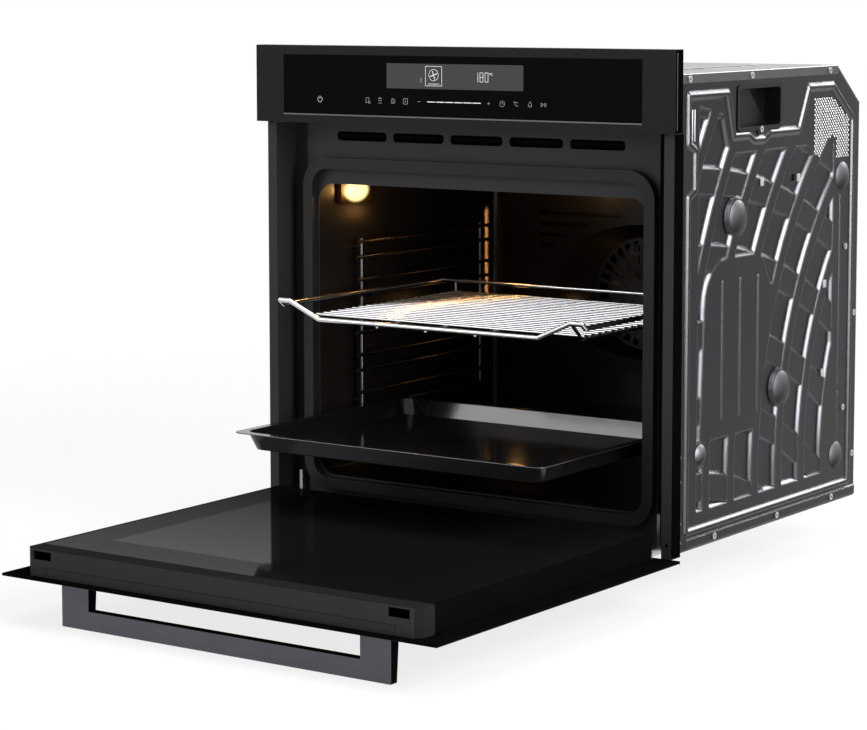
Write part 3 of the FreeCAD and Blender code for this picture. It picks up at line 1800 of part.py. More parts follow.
def wire_shelf():
    """A frame with side rails, a dipped front wire and a raised rear wire, and its grid."""
    wire = S.shelf_wire
    thin = S.shelf_grid_wire
    near = front + S.recess_depth - S.shelf_out + 6
    far = near + S.shelf_depth
    rail = S.rack_first + 3 * S.rack_pitch + 4.3
    lifted = rail + S.shelf_upturn
    low = rail - S.shelf_drop
    half = S.shelf_rail
    corner = half - 14.5
    dip = S.shelf_dip
    pieces = []
    for name, sign in sides():
        x = half * sign
        pieces.append(strut(f"shelf_rail_{name}", wire, (x, near + 8, rail), (x, far, rail)))
        pieces.append(strut(f"shelf_rise_{name}", wire, (x, near + 8, rail), (x, near, lifted)))
        pieces.append(strut(f"shelf_turn_{name}", wire, (x, near, lifted), (corner * sign, near, lifted)))
        pieces.append(strut(f"shelf_ramp_{name}", wire, (corner * sign, near, lifted), (dip * sign, near, low)))
        pieces.append(knot(f"shelf_knot_a_{name}", wire + 0.1, (x, near + 8, rail)))
        pieces.append(knot(f"shelf_knot_b_{name}", wire + 0.1, (x, near, lifted)))
        pieces.append(knot(f"shelf_knot_c_{name}", wire + 0.1, (corner * sign, near, lifted)))
        pieces.append(knot(f"shelf_knot_d_{name}", wire + 0.1, (dip * sign, near, low)))
        pieces.append(knot(f"shelf_knot_e_{name}", wire + 0.1, (x, far, rail)))
        inner = S.shelf_inner * sign
        pieces.append(strut(f"shelf_lower_{name}", 2, (inner, near + 38, low - 3), (inner, far + 1, low - 3)))
        pieces.append(strut(f"shelf_stay_{name}", 2.1, (inner, far, low - 4), (inner, far, rail)))
        foot = (inner, near + 38, low - 3)
        pieces.append(strut(f"shelf_leg_{name}", 2, (corner * sign, near, lifted), foot))
        pieces.append(knot(f"shelf_knot_f_{name}", 2.1, foot))
    pieces.append(strut("shelf_front", wire, (-dip, near, low), (dip, near, low)))
    pieces.append(strut("shelf_rear", wire, (-half, far, rail), (half, far, rail)))
    frame = name_node(fuse("shelf_frame", pieces), "shelf_frame")
    grid = []
    for i in range(21):
        y = near + 44 + S.shelf_grid_pitch * i
        grid.append(strut(f"shelf_cross_{i}", thin, (-S.shelf_inner, y, low), (S.shelf_inner, y, low)))
    for i in range(-1, 2):
        x = 70 * i
        grid.append(strut(f"shelf_long_{i + 1}", 2, (x, near, low - 2.8), (x, far - 6, low - 2.8)))
    name_node(cut("shelf_grid", fuse("shelf_wires", grid), [frame]), "shelf_grid")


wire_shelf()


def baking_tray():
    """A pressed tray with sloping walls and a flat rim that rests on the rack rails."""
    tray = new_body("baking_tray")
    sheet_t = S.tray_sheet
    half = S.tray_width / 2
    near = front + S.recess_depth - S.tray_out + 4
    far = near + S.tray_depth
    rim_z = S.rack_first + S.rack_wire + 0.2
    rim = S.tray_rim
    draft = S.tray_draft

    def hollow(inset, z):
        sketch = new_sketch(tray, "XY_Plane", z)
        rounded(sketch, (-half + inset, half - inset), (near + inset, far - inset), 18)
        return sketch

    floor_z = rim_z - S.tray_height
    pad(tray, "XY_Plane", rim_z, sheet_t, lambda s: rounded(s, (-half, half), (near, far), 12))
    outside = tray.newObject("PartDesign::AdditiveLoft", "tray_outside")
    outside.Profile = hollow(rim, rim_z)
    outside.Sections = [hollow(rim + draft, floor_z)]
    outside.Ruled = True
    doc.recompute()
    inside = tray.newObject("PartDesign::SubtractiveLoft", "tray_inside")
    inside.Profile = hollow(rim + sheet_t, rim_z + sheet_t)
    inside.Sections = [hollow(rim + draft + sheet_t, floor_z + sheet_t)]
    inside.Ruled = True


baking_tray()

# ---------------------------------------------------------------- screws


def screw_heads(name, spots, axis):
    """Round heads; every spot is the middle of a head's inner face."""
    heads = [rod(f"{name}_{i}", S.screw_head, at, S.screw_rise, axis) for i, at in enumerate(spots)]
    name_node(group(name, heads), name)


def screws():
    """Heads on the folded lid, the side panels, the bottom flanges and the tabs of the holds."""
    spots = (
        (29, 549, S.fit_gap + S.panel_sheet), (179, 549, S.fit_gap + S.panel_sheet),
        (384, 549, S.fit_gap + S.panel_sheet), (204, 484, size(1.2)),
        (13, 113, size(0)), (13, 84, size(0)), (13, 35, size(0)), (13, 13, size(0)),
        (97, 8, S.flange_sheet), (255, 8, S.flange_sheet), (403, 8, S.flange_sheet),
        (436, 325, size(0)), (435, 119, size(0)), (463, 56, size(0)), (463, 238, size(0)),
    )
    for name, sign in sides():
        heads = []
        for y, z, lift in spots:
            seat = side + lift if sign > 0 else -side - lift - S.screw_rise
            heads.append((seat, panel_front + y, z))
        screw_heads(f"side_screws_{name}", heads, "X")


screws()

# ---------------------------------------------------------------- checks and files

doc.recompute()
for thing in doc.Objects:
    if {"Invalid", "Error"} & set(thing.State):
        raise RuntimeError(f"{thing.Label}: {thing.State}")
for node in nodes:
    if node.Shape.isNull() or not node.Shape.isValid():
        raise RuntimeError(f"{node.Label}: not a valid shape")
os.makedirs("parts", exist_ok=True)
for node in nodes:
    node.Shape.exportStep(os.path.join("parts", f"{node.Label}.step"))
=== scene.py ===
import math

import bpy
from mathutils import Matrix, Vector


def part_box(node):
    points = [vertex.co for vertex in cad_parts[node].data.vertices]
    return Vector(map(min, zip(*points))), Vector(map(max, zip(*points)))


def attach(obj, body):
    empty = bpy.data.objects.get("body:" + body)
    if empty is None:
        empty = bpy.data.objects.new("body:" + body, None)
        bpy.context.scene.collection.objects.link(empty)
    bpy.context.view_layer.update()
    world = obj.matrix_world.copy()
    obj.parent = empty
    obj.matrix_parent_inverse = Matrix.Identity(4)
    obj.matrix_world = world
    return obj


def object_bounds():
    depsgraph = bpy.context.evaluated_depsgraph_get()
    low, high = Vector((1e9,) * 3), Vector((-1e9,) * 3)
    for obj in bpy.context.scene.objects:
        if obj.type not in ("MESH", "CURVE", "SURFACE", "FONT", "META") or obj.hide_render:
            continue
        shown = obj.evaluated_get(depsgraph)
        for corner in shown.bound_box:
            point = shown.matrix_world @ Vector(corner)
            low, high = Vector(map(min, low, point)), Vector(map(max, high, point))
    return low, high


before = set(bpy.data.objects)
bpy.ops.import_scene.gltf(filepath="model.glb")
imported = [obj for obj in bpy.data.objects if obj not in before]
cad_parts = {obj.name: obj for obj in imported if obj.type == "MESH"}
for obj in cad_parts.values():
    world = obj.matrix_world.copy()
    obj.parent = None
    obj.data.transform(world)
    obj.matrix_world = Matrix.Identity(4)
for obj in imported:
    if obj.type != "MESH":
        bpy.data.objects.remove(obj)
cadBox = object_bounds()
print("frame loaded")


# Shader maths: a wire is one socket, and an expression on wires adds the nodes.
class Wire:
    def __init__(self, tree, socket):
        self.tree = tree
        self.socket = socket

    def maths(self, operation, first, second):
        return self.tree.node("ShaderNodeMath", {"operation": operation}, {0: first, 1: second})

    def __add__(self, other):
        return self.maths("ADD", self, other)

    def __sub__(self, other):
        return self.maths("SUBTRACT", self, other)

    def __rsub__(self, other):
        return self.maths("SUBTRACT", other, self)

    def __mul__(self, other):
        return self.maths("MULTIPLY", self, other)

    def __gt__(self, other):
        return self.maths("GREATER_THAN", self, other)

    def __lt__(self, other):
        return self.maths("LESS_THAN", self, other)

    __radd__ = __add__
    __rmul__ = __mul__


# The nodes of a material or of the world.
class Tree:
    def __init__(self, owner):
        owner.use_nodes = True
        self.nodes = owner.node_tree.nodes
        self.links = owner.node_tree.links

    def node(self, kind, settings=None, inputs=None, output=0):
        added = self.nodes.new(kind)
        for key, value in (settings or {}).items():
            setattr(added, key, value)
        for key, value in (inputs or {}).items():
            self.feed(added.inputs[key], value)
        return Wire(self, added.outputs[output])

    def feed(self, socket, value):
        if isinstance(value, Wire):
            self.links.new(value.socket, socket)
        else:
            socket.default_value = value


class Shader(Tree):
    def __init__(self, name):
        self.material = bpy.data.materials.new(name)
        super().__init__(self.material)
        self.surface = self.nodes["Principled BSDF"]
        self.place = self.node("ShaderNodeTexCoord", output="Object")

    def set(self, **values):
        for key, value in values.items():
            self.feed(self.surface.inputs[key.replace("_", " ")], value)

    def axis(self, letter):
        return self.node("ShaderNodeSeparateXYZ", None, {"Vector": self.place}, letter)

    def stretched(self, scale):
        return self.node("ShaderNodeMapping", None, {"Vector": self.place, "Scale": scale})

    def noise(self, scale, detail, vector=None, roughness=0.5):
        return self.node("ShaderNodeTexNoise", None, {
            "Vector": vector or self.place, "Scale": scale, "Detail": detail,
            "Roughness": roughness,
        }, "Fac")

    def mixColour(self, mask, first, second):
        return self.node("ShaderNodeMix", {"data_type": "RGBA"}, {0: mask, 6: first, 7: second}, 2)

    def vectorMaths(self, operation, first, second=(0, 0, 0)):
        inputs = {0: first, 1: second}
        return self.node("ShaderNodeVectorMath", {"operation": operation}, inputs, "Value")

    # Goes from the first end to the second while the value crosses its reach.
    def ramp(self, value, reach, ends=(0.0, 1.0), kind="SMOOTHSTEP"):
        return self.node("ShaderNodeMapRange", {"interpolation_type": kind}, {
            "Value": value, "From Min": reach[0], "From Max": reach[1],
            "To Min": ends[0], "To Max": ends[1],
        })

    def bump(self, height, strength, distance):
        return self.node(
            "ShaderNodeBump", None, {"Height": height, "Strength": strength, "Distance": distance}
        )

    # Shades a bumped surface as if its sharp edges were rounded.
    def roundEdges(self, surface, radius):
        edge = self.node("ShaderNodeBevel", {"samples": 6}, {"Radius": radius})
        self.feed(surface.socket.node.inputs["Normal"], edge)
        return edge

    # Lays another surface over the material's first one, as far as the mask says.
    def cover(self, other, mask):
        first = Wire(self, self.surface.outputs[0])
        both = self.node("ShaderNodeMixShader", None, {0: mask, 1: first, 2: other})
        self.feed(self.nodes["Material Output"].inputs["Surface"], both)


def rgba(colour):
    return (colour[0], colour[1], colour[2], 1.0)


# Every finish here is the same recipe: two near colours in soft clouds, a roughness that
# wanders a little, and a fine grain that may be stretched into a brushed direction.
finishes = {
    "blackSteel": {
        "light": (0.017, 0.017, 0.018), "dark": (0.012, 0.012, 0.013),
        "metal": 0.75, "shine": 0.15, "rough": 0.36, "wander": 0.10,
        "grain": 900, "stretch": (0.02, 1, 1), "bump": 0.10,
    },
    # Here, in doorSkin and in trimPlastic, the rest colour is painted shade on the faces that are
    # not outer faces.
    "handleSteel": {
        "light": (0.105, 0.107, 0.120), "dark": (0.066, 0.067, 0.077),
        "metal": 0.95, "shine": 0.0, "rough": 0.30, "wander": 0.10,
        "grain": 900, "stretch": (0.02, 1, 1), "bump": 0.10,
        "face": ("door_handle", "YZ"), "rest": (0.003, 0.003, 0.0033),
    },
    "doorSkin": {
        "light": (0.017, 0.017, 0.018), "dark": (0.012, 0.012, 0.013),
        "metal": 0.75, "shine": 0.0, "rough": 0.36, "wander": 0.10,
        "grain": 900, "stretch": (0.02, 1, 1), "bump": 0.10,
        "face": ("door_outer_panel", "Z"), "rest": (0.0025, 0.0025, 0.0027),
    },
    "frameEnamel": {
        "light": (0.018, 0.018, 0.0195), "dark": (0.014, 0.014, 0.0155),
        "metal": 0.0, "shine": 0.22, "rough": 0.40, "wander": 0.08,
        "grain": 700, "stretch": (1, 1, 1), "bump": 0.06,
    },
    "sealRubber": {
        "light": (0.009, 0.009, 0.010), "dark": (0.006, 0.006, 0.007),
        "metal": 0.0, "shine": 0.22, "rough": 0.40, "wander": 0.12,
        "grain": 1200, "stretch": (1, 1, 1), "bump": 0.12,
    },
    "chromeWire": {
        "light": (0.58, 0.58, 0.59), "dark": (0.46, 0.46, 0.48),
        "metal": 1.0, "shine": 0.5, "rough": 0.20, "wander": 0.08,
        "grain": 1500, "stretch": (1, 1, 1), "bump": 0.04,
    },
    "rackWire": {
        "light": (0.15, 0.14, 0.13), "dark": (0.08, 0.075, 0.07),
        "metal": 1.0, "shine": 0.5, "rough": 0.26, "wander": 0.10,
        "grain": 1500, "stretch": (1, 1, 1), "bump": 0.05,
    },
    "bareSteel": {
        "light": (0.62, 0.62, 0.63), "dark": (0.48, 0.48, 0.50),
        "metal": 1.0, "shine": 0.5, "rough": 0.30, "wander": 0.12,
        "grain": 800, "stretch": (1, 1, 1), "bump": 0.08,
    },
    "zincSheet": {
        "light": (0.42, 0.42, 0.44), "dark": (0.30, 0.30, 0.32),
        "metal": 1.0, "shine": 0.5, "rough": 0.30, "wander": 0.14,
        "grain": 600, "stretch": (1, 1, 1), "bump": 0.10,
    },
    # In the pressed sheets below, the slope colour is a painted highlight on the relief's slopes.
    "graphiteSheet": {
        "light": (0.015, 0.015, 0.017), "dark": (0.009, 0.009, 0.011),
        "metal": 1.0, "shine": 0.5, "rough": 0.25, "wander": 0.05,
        "grain": 1100, "stretch": (1, 1, 1), "bump": 0.14,
        "pressed": 0.0035, "slopeHighlight": (0.110, 0.110, 0.119),
    },
    "lidSheet": {
        "light": (0.105, 0.105, 0.112), "dark": (0.07, 0.07, 0.076),
        "metal": 1.0, "shine": 0.5, "rough": 0.26, "wander": 0.12,
        "grain": 700, "stretch": (1, 1, 1), "bump": 0.10,
        "pressed": 0.0008, "slopeHighlight": (0.20, 0.20, 0.21),
    },
    # Near-black for vent holes, screw recesses, the slots' louvres and the trim's crease, as
    # painted shade, and for the trim's seams, as dark joints.
    "shadeAndJointBlack": {
        "light": (0.004, 0.004, 0.004), "dark": (0.002, 0.002, 0.002),
        "metal": 0.0, "shine": 0.05, "rough": 0.6, "wander": 0.1,
        "grain": 1500, "stretch": (1, 1, 1), "bump": 0.05,
    },
    "stripSteel": {
        "light": (0.17, 0.17, 0.175), "dark": (0.11, 0.11, 0.115),
        "metal": 1.0, "shine": 0.5, "rough": 0.3, "wander": 0.1,
        "grain": 900, "stretch": (0.02, 1, 1), "bump": 0.05,
    },
    "blackPlastic": {
        "light": (0.010, 0.010, 0.011), "dark": (0.007, 0.007, 0.008),
        "metal": 0.0, "shine": 0.25, "rough": 0.42, "wander": 0.10,
        "grain": 1600, "stretch": (1, 1, 1), "bump": 0.18,
    },
    "bowlPlastic": {
        "light": (0.0045, 0.0045, 0.005), "dark": (0.003, 0.003, 0.0032),
        "metal": 0.0, "shine": 0.10, "rough": 0.34, "wander": 0.10,
        "grain": 1600, "stretch": (1, 1, 1), "bump": 0.12,
    },
    "rimEnamel": {
        "light": (0.012, 0.012, 0.0125), "dark": (0.008, 0.008, 0.0085),
        "metal": 0.0, "shine": 0.9, "rough": 0.16, "wander": 0.06,
        "grain": 700, "stretch": (1, 1, 1), "bump": 0.05,
    },
    "profileBlack": {
        "light": (0.0030, 0.0030, 0.0033), "dark": (0.0020, 0.0020, 0.0022),
        "metal": 0.0, "shine": 0.0, "rough": 0.30, "wander": 0.08,
        "grain": 1100, "stretch": (1, 0.03, 1), "bump": 0.06,
    },
    # Near-black end caps: black plastic on the control panel's ends, painted shade on the front
    # frame's flanks.
    "capAndFlankShadeBlack": {
        "light": (0.0017, 0.0017, 0.0018), "dark": (0.0010, 0.0010, 0.0011),
        "metal": 0.0, "shine": 0.0, "rough": 0.40, "wander": 0.10,
        "grain": 1600, "stretch": (1, 1, 1), "bump": 0.10,
    },
    # Darker than bare steel: painted shade on the fan that stands behind its cover.
    "shadedFanSteel": {
        "light": (0.085, 0.070, 0.060), "dark": (0.050, 0.042, 0.036),
        "metal": 1.0, "shine": 0.3, "rough": 0.38, "wander": 0.12,
        "grain": 900, "stretch": (1, 1, 1), "bump": 0.10,
    },
    # The crest colour is a painted highlight on each dome's upper front.
    "domeSheet": {
        "light": (0.024, 0.024, 0.027), "dark": (0.018, 0.018, 0.021),
        "metal": 1.0, "shine": 0.5, "rough": 0.46, "wander": 0.10,
        "grain": 1300, "stretch": (1, 1, 1), "bump": 0.14,
        "crest": (0.14, 0.14, 0.15),
    },
    "trimPlastic": {
        "light": (0.037, 0.037, 0.038), "dark": (0.031, 0.031, 0.032),
        "metal": 0.0, "shine": 0.0, "rough": 0.52, "wander": 0.08,
        "grain": 1600, "stretch": (1, 1, 1), "bump": 0.12,
        "face": ("door_top_trim", "Y"), "rest": (0.014, 0.014, 0.0148),
    },
    "heaterTube": {
        "light": (0.16, 0.14, 0.12), "dark": (0.07, 0.06, 0.055),
        "metal": 0.9, "shine": 0.4, "rough": 0.42, "wander": 0.15,
        "grain": 500, "stretch": (1, 1, 1), "bump": 0.15,
    },
}

# What every finish shares, and what the keys do that only some have: "pressed" rounds a
# sheet's edges and paints its slopes lighter as a painted highlight, the crest colour is a painted
# highlight on the upper front of a dome, and "face" keeps the look to a node's outer faces along
# those axes, with a darker colour as painted shade on the other faces.
finishRecipe = {
    "cloud": (14.0, 4.0), "grainDetail": 2.0, "relief": 0.0004, "grainRough": 0.06,
    "flatness": (0.55, 0.93), "crestAim": (0, -0.55, 0.83), "crestReach": (-0.22, 0.48),
    "skin": 0.0005,
}


def makeFinish(name):
    look = finishes[name]
    shader = Shader(name)
    cloud = shader.noise(*finishRecipe["cloud"])
    grainPlace = shader.stretched(look["stretch"])
    grain = shader.noise(look["grain"], finishRecipe["grainDetail"], grainPlace)
    surface = shader.bump(grain, look["bump"], finishRecipe["relief"])
    colour = shader.mixColour(cloud, rgba(look["light"]), rgba(look["dark"]))
    # Slopes, found from the rounded normal, get a lighter colour: a painted highlight.
    if "pressed" in look:
        edge = shader.roundEdges(surface, look["pressed"])
        turned = shader.vectorMaths("DOT_PRODUCT", edge, (1, 0, 0))
        slopeHighlight = shader.ramp(turned * turned, finishRecipe["flatness"], (1.0, 0.0))
        colour = shader.mixColour(slopeHighlight, colour, rgba(look["slopeHighlight"]))
    # The upper front of a dome, found from its normal, gets a lighter colour: a painted highlight.
    if "crest" in look:
        facing = shader.node("ShaderNodeNewGeometry", output="Normal")
        height = shader.vectorMaths("DOT_PRODUCT", facing, finishRecipe["crestAim"])
        paintedCrestLight = shader.ramp(height, finishRecipe["crestReach"])
        colour = shader.mixColour(paintedCrestLight, colour, rgba(look["crest"]))
    metal = look["metal"]
    # Faces other than the outer ones get the darker rest colour: painted shade.
    if "face" in look:
        node, axes = look["face"]
        front = None
        for axis in axes:
            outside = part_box(node)[0]["XYZ".index(axis)]
            near = shader.axis(axis) < outside + finishRecipe["skin"]
            front = near if front is None else front + near - front * near
        colour = shader.mixColour(front, rgba(look["rest"]), colour)
        metal = front * metal
    wander = look["wander"] * (cloud - 0.5)
    shader.set(
        Base_Color=colour,
        Metallic=metal,
        Roughness=look["rough"] + wander + finishRecipe["grainRough"] * (grain - 0.5),
        Normal=surface,
        Specular_IOR_Level=look["shine"],
    )
    return shader.material


made = {name: makeFinish(name) for name in finishes}


# Vitreous enamel: near black, glossy, with the pale flecks that such enamel has.
enamelRecipe = {
    "fleckScale": 420.0, "fleckSize": 0.10, "patches": (60.0, 1.0), "bare": 0.62,
    "ripple": (45.0, 2.0), "relief": (0.10, 0.0008), "rippleRough": 0.05, "coatRough": 0.06,
}
enamels = {
    "cavityEnamel": {
        "base": (0.0065, 0.0052, 0.0042), "fleck": (0.030, 0.026, 0.022), "rough": 0.22,
        "shine": 0.16, "coat": 0.02,
    },
    "trayEnamel": {
        "base": (0.004, 0.004, 0.0045), "fleck": (0.02, 0.02, 0.023), "rough": 0.10,
        "shine": 0.42, "coat": 0.03, "edge": 0.0016,
    },
}


def makeEnamel(name):
    look = enamels[name]
    shader = Shader(name)
    specks = shader.node("ShaderNodeTexVoronoi", None, {
        "Vector": shader.place, "Scale": enamelRecipe["fleckScale"],
    }, "Distance")
    sparse = shader.noise(*enamelRecipe["patches"]) > enamelRecipe["bare"]
    flecks = (specks < enamelRecipe["fleckSize"]) * sparse
    ripple = shader.noise(*enamelRecipe["ripple"])
    surface = shader.bump(ripple, *enamelRecipe["relief"])
    if "edge" in look:
        shader.roundEdges(surface, look["edge"])
    shader.set(
        Base_Color=shader.mixColour(flecks, rgba(look["base"]), rgba(look["fleck"])),
        Roughness=look["rough"] + enamelRecipe["rippleRough"] * ripple,
        Normal=surface,
        Coat_Weight=look["coat"],
        Coat_Roughness=enamelRecipe["coatRough"],
        Specular_IOR_Level=look["shine"],
    )
    return shader.material


for name in enamels:
    made[name] = makeEnamel(name)


# Black glass of the control panel, and the middle pane of the door.
glassRecipe = {"smear": (9.0, 3.0), "smearRough": 0.03, "index": 1.5}
glasses = {
    "panelGlass": {"base": (0.0014, 0.0014, 0.0016), "rough": 0.06, "clear": 0.0, "shine": 0.03},
    "middleGlass": {"base": (0.30, 0.31, 0.32), "rough": 0.02, "clear": 1.0, "shine": 0.3},
}


def makeGlass(name):
    look = glasses[name]
    shader = Shader(name)
    smear = shader.noise(*glassRecipe["smear"])
    shader.set(
        Base_Color=rgba(look["base"]),
        Roughness=look["rough"] + glassRecipe["smearRough"] * smear,
        Transmission_Weight=look["clear"],
        Specular_IOR_Level=look["shine"],
        IOR=glassRecipe["index"],
    )
    return shader.material


for name in glasses:
    made[name] = makeGlass(name)


# The inner pane: black print round a clear middle, which shines a little more through its
# layers. The border is left, right, front and back; the fade goes from front to back.
innerPane = {
    "border": (0.052, 0.046, 0.058, 0.046), "print": (0.005, 0.005, 0.0055),
    "gloss": {"printed": 0.055, "clear": 0.090}, "fade": (1.2, 0.3), "smear": (7.0, 3.0),
    "printRough": (0.3, 0.1), "mirror": (0.92, 0.93, 1.0), "mirrorRough": (0.03, 0.04),
}


def makeInnerPane(name):
    low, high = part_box("door_inner_glass")
    left, right, front, back = innerPane["border"]
    shader = Shader(name)
    x, y = shader.axis("X"), shader.axis("Y")
    clear = (x > low.x + left) * (x < high.x - right) * (y > low.y + front) * (y < high.y - back)
    smear = shader.noise(*innerPane["smear"])
    rough, smeared = innerPane["printRough"]
    shader.set(
        Base_Color=rgba(innerPane["print"]),
        Roughness=rough + smeared * smear,
        Specular_IOR_Level=0.0,
    )
    rough, smeared = innerPane["mirrorRough"]
    mirror = shader.node("ShaderNodeBsdfPrincipled", None, {
        "Base Color": rgba(innerPane["mirror"]), "Metallic": 1.0,
        "Roughness": rough + smeared * smear,
    })
    printed = innerPane["gloss"]["printed"]
    gloss = printed + (innerPane["gloss"]["clear"] - printed) * clear
    shader.cover(mirror, gloss * shader.ramp(y, (low.y, high.y), innerPane["fade"], "LINEAR"))
    return shader.material


made["innerPane"] = makeInnerPane("innerPane")


# The bulb and the lit signs, each with a faint shimmer.
glowRecipe = {"shimmer": (220.0, 1.0), "dimmest": 0.92, "rough": 0.4}
glows = {
    "lampGlow": {"colour": (1.0, 0.62, 0.20), "strength": 14.0},
    "displayGrey": {"colour": (0.0080, 0.0080, 0.0084), "strength": 0.8},
    "signWhite": {"colour": (0.50, 0.50, 0.50), "strength": 0.8},
    "signGrey": {"colour": (0.26, 0.26, 0.26), "strength": 0.5},
}


def makeGlow(name):
    glow = glows[name]
    shader = Shader(name)
    shimmer = shader.noise(*glowRecipe["shimmer"])
    dimmer = [part * glowRecipe["dimmest"] for part in glow["colour"]]
    shader.set(
        Base_Color=rgba(glow["colour"]),
        Emission_Color=shader.mixColour(shimmer, rgba(glow["colour"]), rgba(dimmer)),
        Emission_Strength=glow["strength"],
        Roughness=glowRecipe["rough"],
    )
    return shader.material


for name in glows:
    made[name] = makeGlow(name)


# The lamp's pane shines most in the middle, over the bulb, drawn out along the wall.
lampPane = {
    "core": (1.0, 0.74, 0.28), "edge": (0.012, 0.0025, 0.0002), "reach": (0.0095, 0.0165),
    "flat": 0.55, "strength": 2.2, "glass": (0.0006, 0.0004, 0.0003), "shine": 0.05,
    "ribs": (90.0, 1.0), "rough": (0.15, 0.2),
}


def makeLampPane(name):
    low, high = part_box("lamp_glass")
    middle = (low + high) / 2
    flat = lampPane["flat"]
    shader = Shader(name)
    place = shader.node("ShaderNodeMapping", None, {
        "Vector": shader.place, "Location": (0, -middle.y * flat, -middle.z), "Scale": (0, flat, 1),
    })
    fade = shader.ramp(shader.vectorMaths("LENGTH", place), lampPane["reach"])
    rough, ribbed = lampPane["rough"]
    shader.set(
        Base_Color=rgba(lampPane["glass"]),
        Emission_Color=shader.mixColour(fade, rgba(lampPane["core"]), rgba(lampPane["edge"])),
        Emission_Strength=lampPane["strength"],
        Roughness=rough + ribbed * shader.noise(*lampPane["ribs"]),
        Specular_IOR_Level=lampPane["shine"],
    )
    return shader.material


made["lampPane"] = makeLampPane("lampPane")


# Mineral wool: matted pale fibres.
wool = {
    "fibres": (260.0, 6.0), "stretch": (1.0, 0.25, 1.0), "tangle": 0.7,
    "dark": (0.52, 0.46, 0.32), "light": (0.74, 0.70, 0.58), "rough": 0.95, "relief": (0.8, 0.002),
}


def makeWool(name):
    shader = Shader(name)
    fibres = shader.noise(*wool["fibres"], shader.stretched(wool["stretch"]), wool["tangle"])
    shader.set(
        Base_Color=shader.mixColour(fibres, rgba(wool["dark"]), rgba(wool["light"])),
        Roughness=wool["rough"],
        Normal=shader.bump(fibres, *wool["relief"]),
    )
    return shader.material


made["mineralWool"] = makeWool("mineralWool")


# Circuit card: green lacquer with lighter tracks.
circuitCard = {
    "layout": {"offset": 0.3, "squash": 0.6},
    "tracks": {
        "Scale": 60.0, "Color1": (0.01, 0.09, 0.04, 1), "Color2": (0.01, 0.11, 0.05, 1),
        "Mortar": (0.05, 0.20, 0.10, 1), "Mortar Size": 0.012,
    },
    "rough": 0.35,
}


def makeCard(name):
    shader = Shader(name)
    inputs = {"Vector": shader.place, **circuitCard["tracks"]}
    tracks = shader.node("ShaderNodeTexBrick", circuitCard["layout"], inputs, "Color")
    shader.set(Base_Color=tracks, Roughness=circuitCard["rough"])
    return shader.material


made["circuitCard"] = makeCard("circuitCard")
print("finishes made")

# The finish of every CAD node
nodeFinish = {
    "front_frame": "frameEnamel", "door_seal": "sealRubber", "cavity_liner": "cavityEnamel",
    "insulation_wool": "mineralWool", "lamp_housing": "zincSheet", "lamp_glass": "lampPane",
    "lamp_bulb": "lampGlow", "grill_element": "heaterTube", "bottom_element": "heaterTube",
    "ring_element": "heaterTube", "fan_cover": "cavityEnamel", "convection_fan": "shadedFanSteel",
    "fan_motor": "zincSheet", "rack_left": "rackWire", "rack_right": "rackWire",
    "temperature_sensor": "bareSteel", "base_panel": "zincSheet",
    "side_panel_left": "graphiteSheet", "side_panel_right": "graphiteSheet",
    "hold_bowl_left": "bowlPlastic", "hold_bowl_right": "bowlPlastic",
    "rear_panel": "zincSheet", "top_cover": "lidSheet", "chassis_plate": "zincSheet",
    "air_duct": "zincSheet", "blower_housing": "zincSheet", "blower_rotor": "bareSteel",
    "blower_motor": "zincSheet", "board_tray": "blackPlastic", "power_board": "circuitCard",
    "terminal_block": "blackPlastic", "control_fascia": "blackSteel",
    "control_glass": "panelGlass", "glass_strip": "stripSteel", "display_module": "blackPlastic",
    "control_board": "circuitCard", "control_housing": "blackPlastic",
    "door_outer_panel": "doorSkin", "door_middle_glass": "middleGlass",
    "door_inner_glass": "innerPane", "door_profile_left": "profileBlack",
    "door_profile_right": "profileBlack", "door_bottom_rail": "profileBlack",
    "door_top_trim": "trimPlastic", "door_handle": "handleSteel", "handle_screws": "bareSteel",
    "hinge_receiver_left": "zincSheet", "hinge_receiver_right": "zincSheet",
    "hinge_arm_left": "bareSteel", "hinge_arm_right": "bareSteel",
    "hinge_pin_left": "bareSteel", "hinge_pin_right": "bareSteel",
    "hinge_channel_left": "zincSheet", "hinge_channel_right": "zincSheet",
    "shelf_frame": "chromeWire", "shelf_grid": "chromeWire", "baking_tray": "trayEnamel",
    "side_screws_left": "bareSteel", "side_screws_right": "bareSteel",
    "terminal_cover": "blackPlastic",
}

for name, finish in nodeFinish.items():
    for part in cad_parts[name].material_slots:
        part.material = made[finish]
print("nodes finished")

# Camera, floor and light. The lens is given as a focal length and a middle point, both in the
# units of the frame.
studio = {
    "camera": (1.8328, -2.9944, 0.6620),
    "turn": (83.7123, 0.2796, 36.4546),
    "frame": (867, 730),
    "focal": 2766.32,
    "middle": (332.03, 285.97),
    "sensor": 36.0,
    "clip": (0.05, 1000),
    "floorDrop": 0.0015,
    "floorSize": 400.0,
    "floorColour": (0.8, 0.8, 0.8),
    "floorRough": 0.9,
    "paleFloor": 0.80,
    "shadeReach": (0.9, 2.2),
    "ambient": 0.22,
}

bpy.ops.object.select_all(action="DESELECT")
bpy.ops.object.camera_add(
    location=studio["camera"], rotation=[math.radians(angle) for angle in studio["turn"]]
)
camera = bpy.context.object
frameWidth, frameHeight = studio["frame"]
middleX, middleY = studio["middle"]
camera.data.lens = studio["sensor"] * studio["focal"] / frameWidth
camera.data.sensor_width = studio["sensor"]
camera.data.shift_x = (frameWidth / 2 - middleX) / frameWidth
camera.data.shift_y = (middleY - frameHeight / 2) / frameWidth
camera.data.clip_start, camera.data.clip_end = studio["clip"]
bpy.context.scene.camera = camera
bpy.context.scene.view_settings.view_transform = "Standard"


# One for rays that look at the backdrop, straight or in a gloss or through glass.
def lookingRays(tree):
    rays = tree.node("ShaderNodeLightPath", output="Is Camera Ray")
    total = rays
    for other in ("Is Glossy Ray", "Is Transmission Ray"):
        total = total.maths("MAXIMUM", total, Wire(tree, rays.socket.node.outputs[other]))
    return total


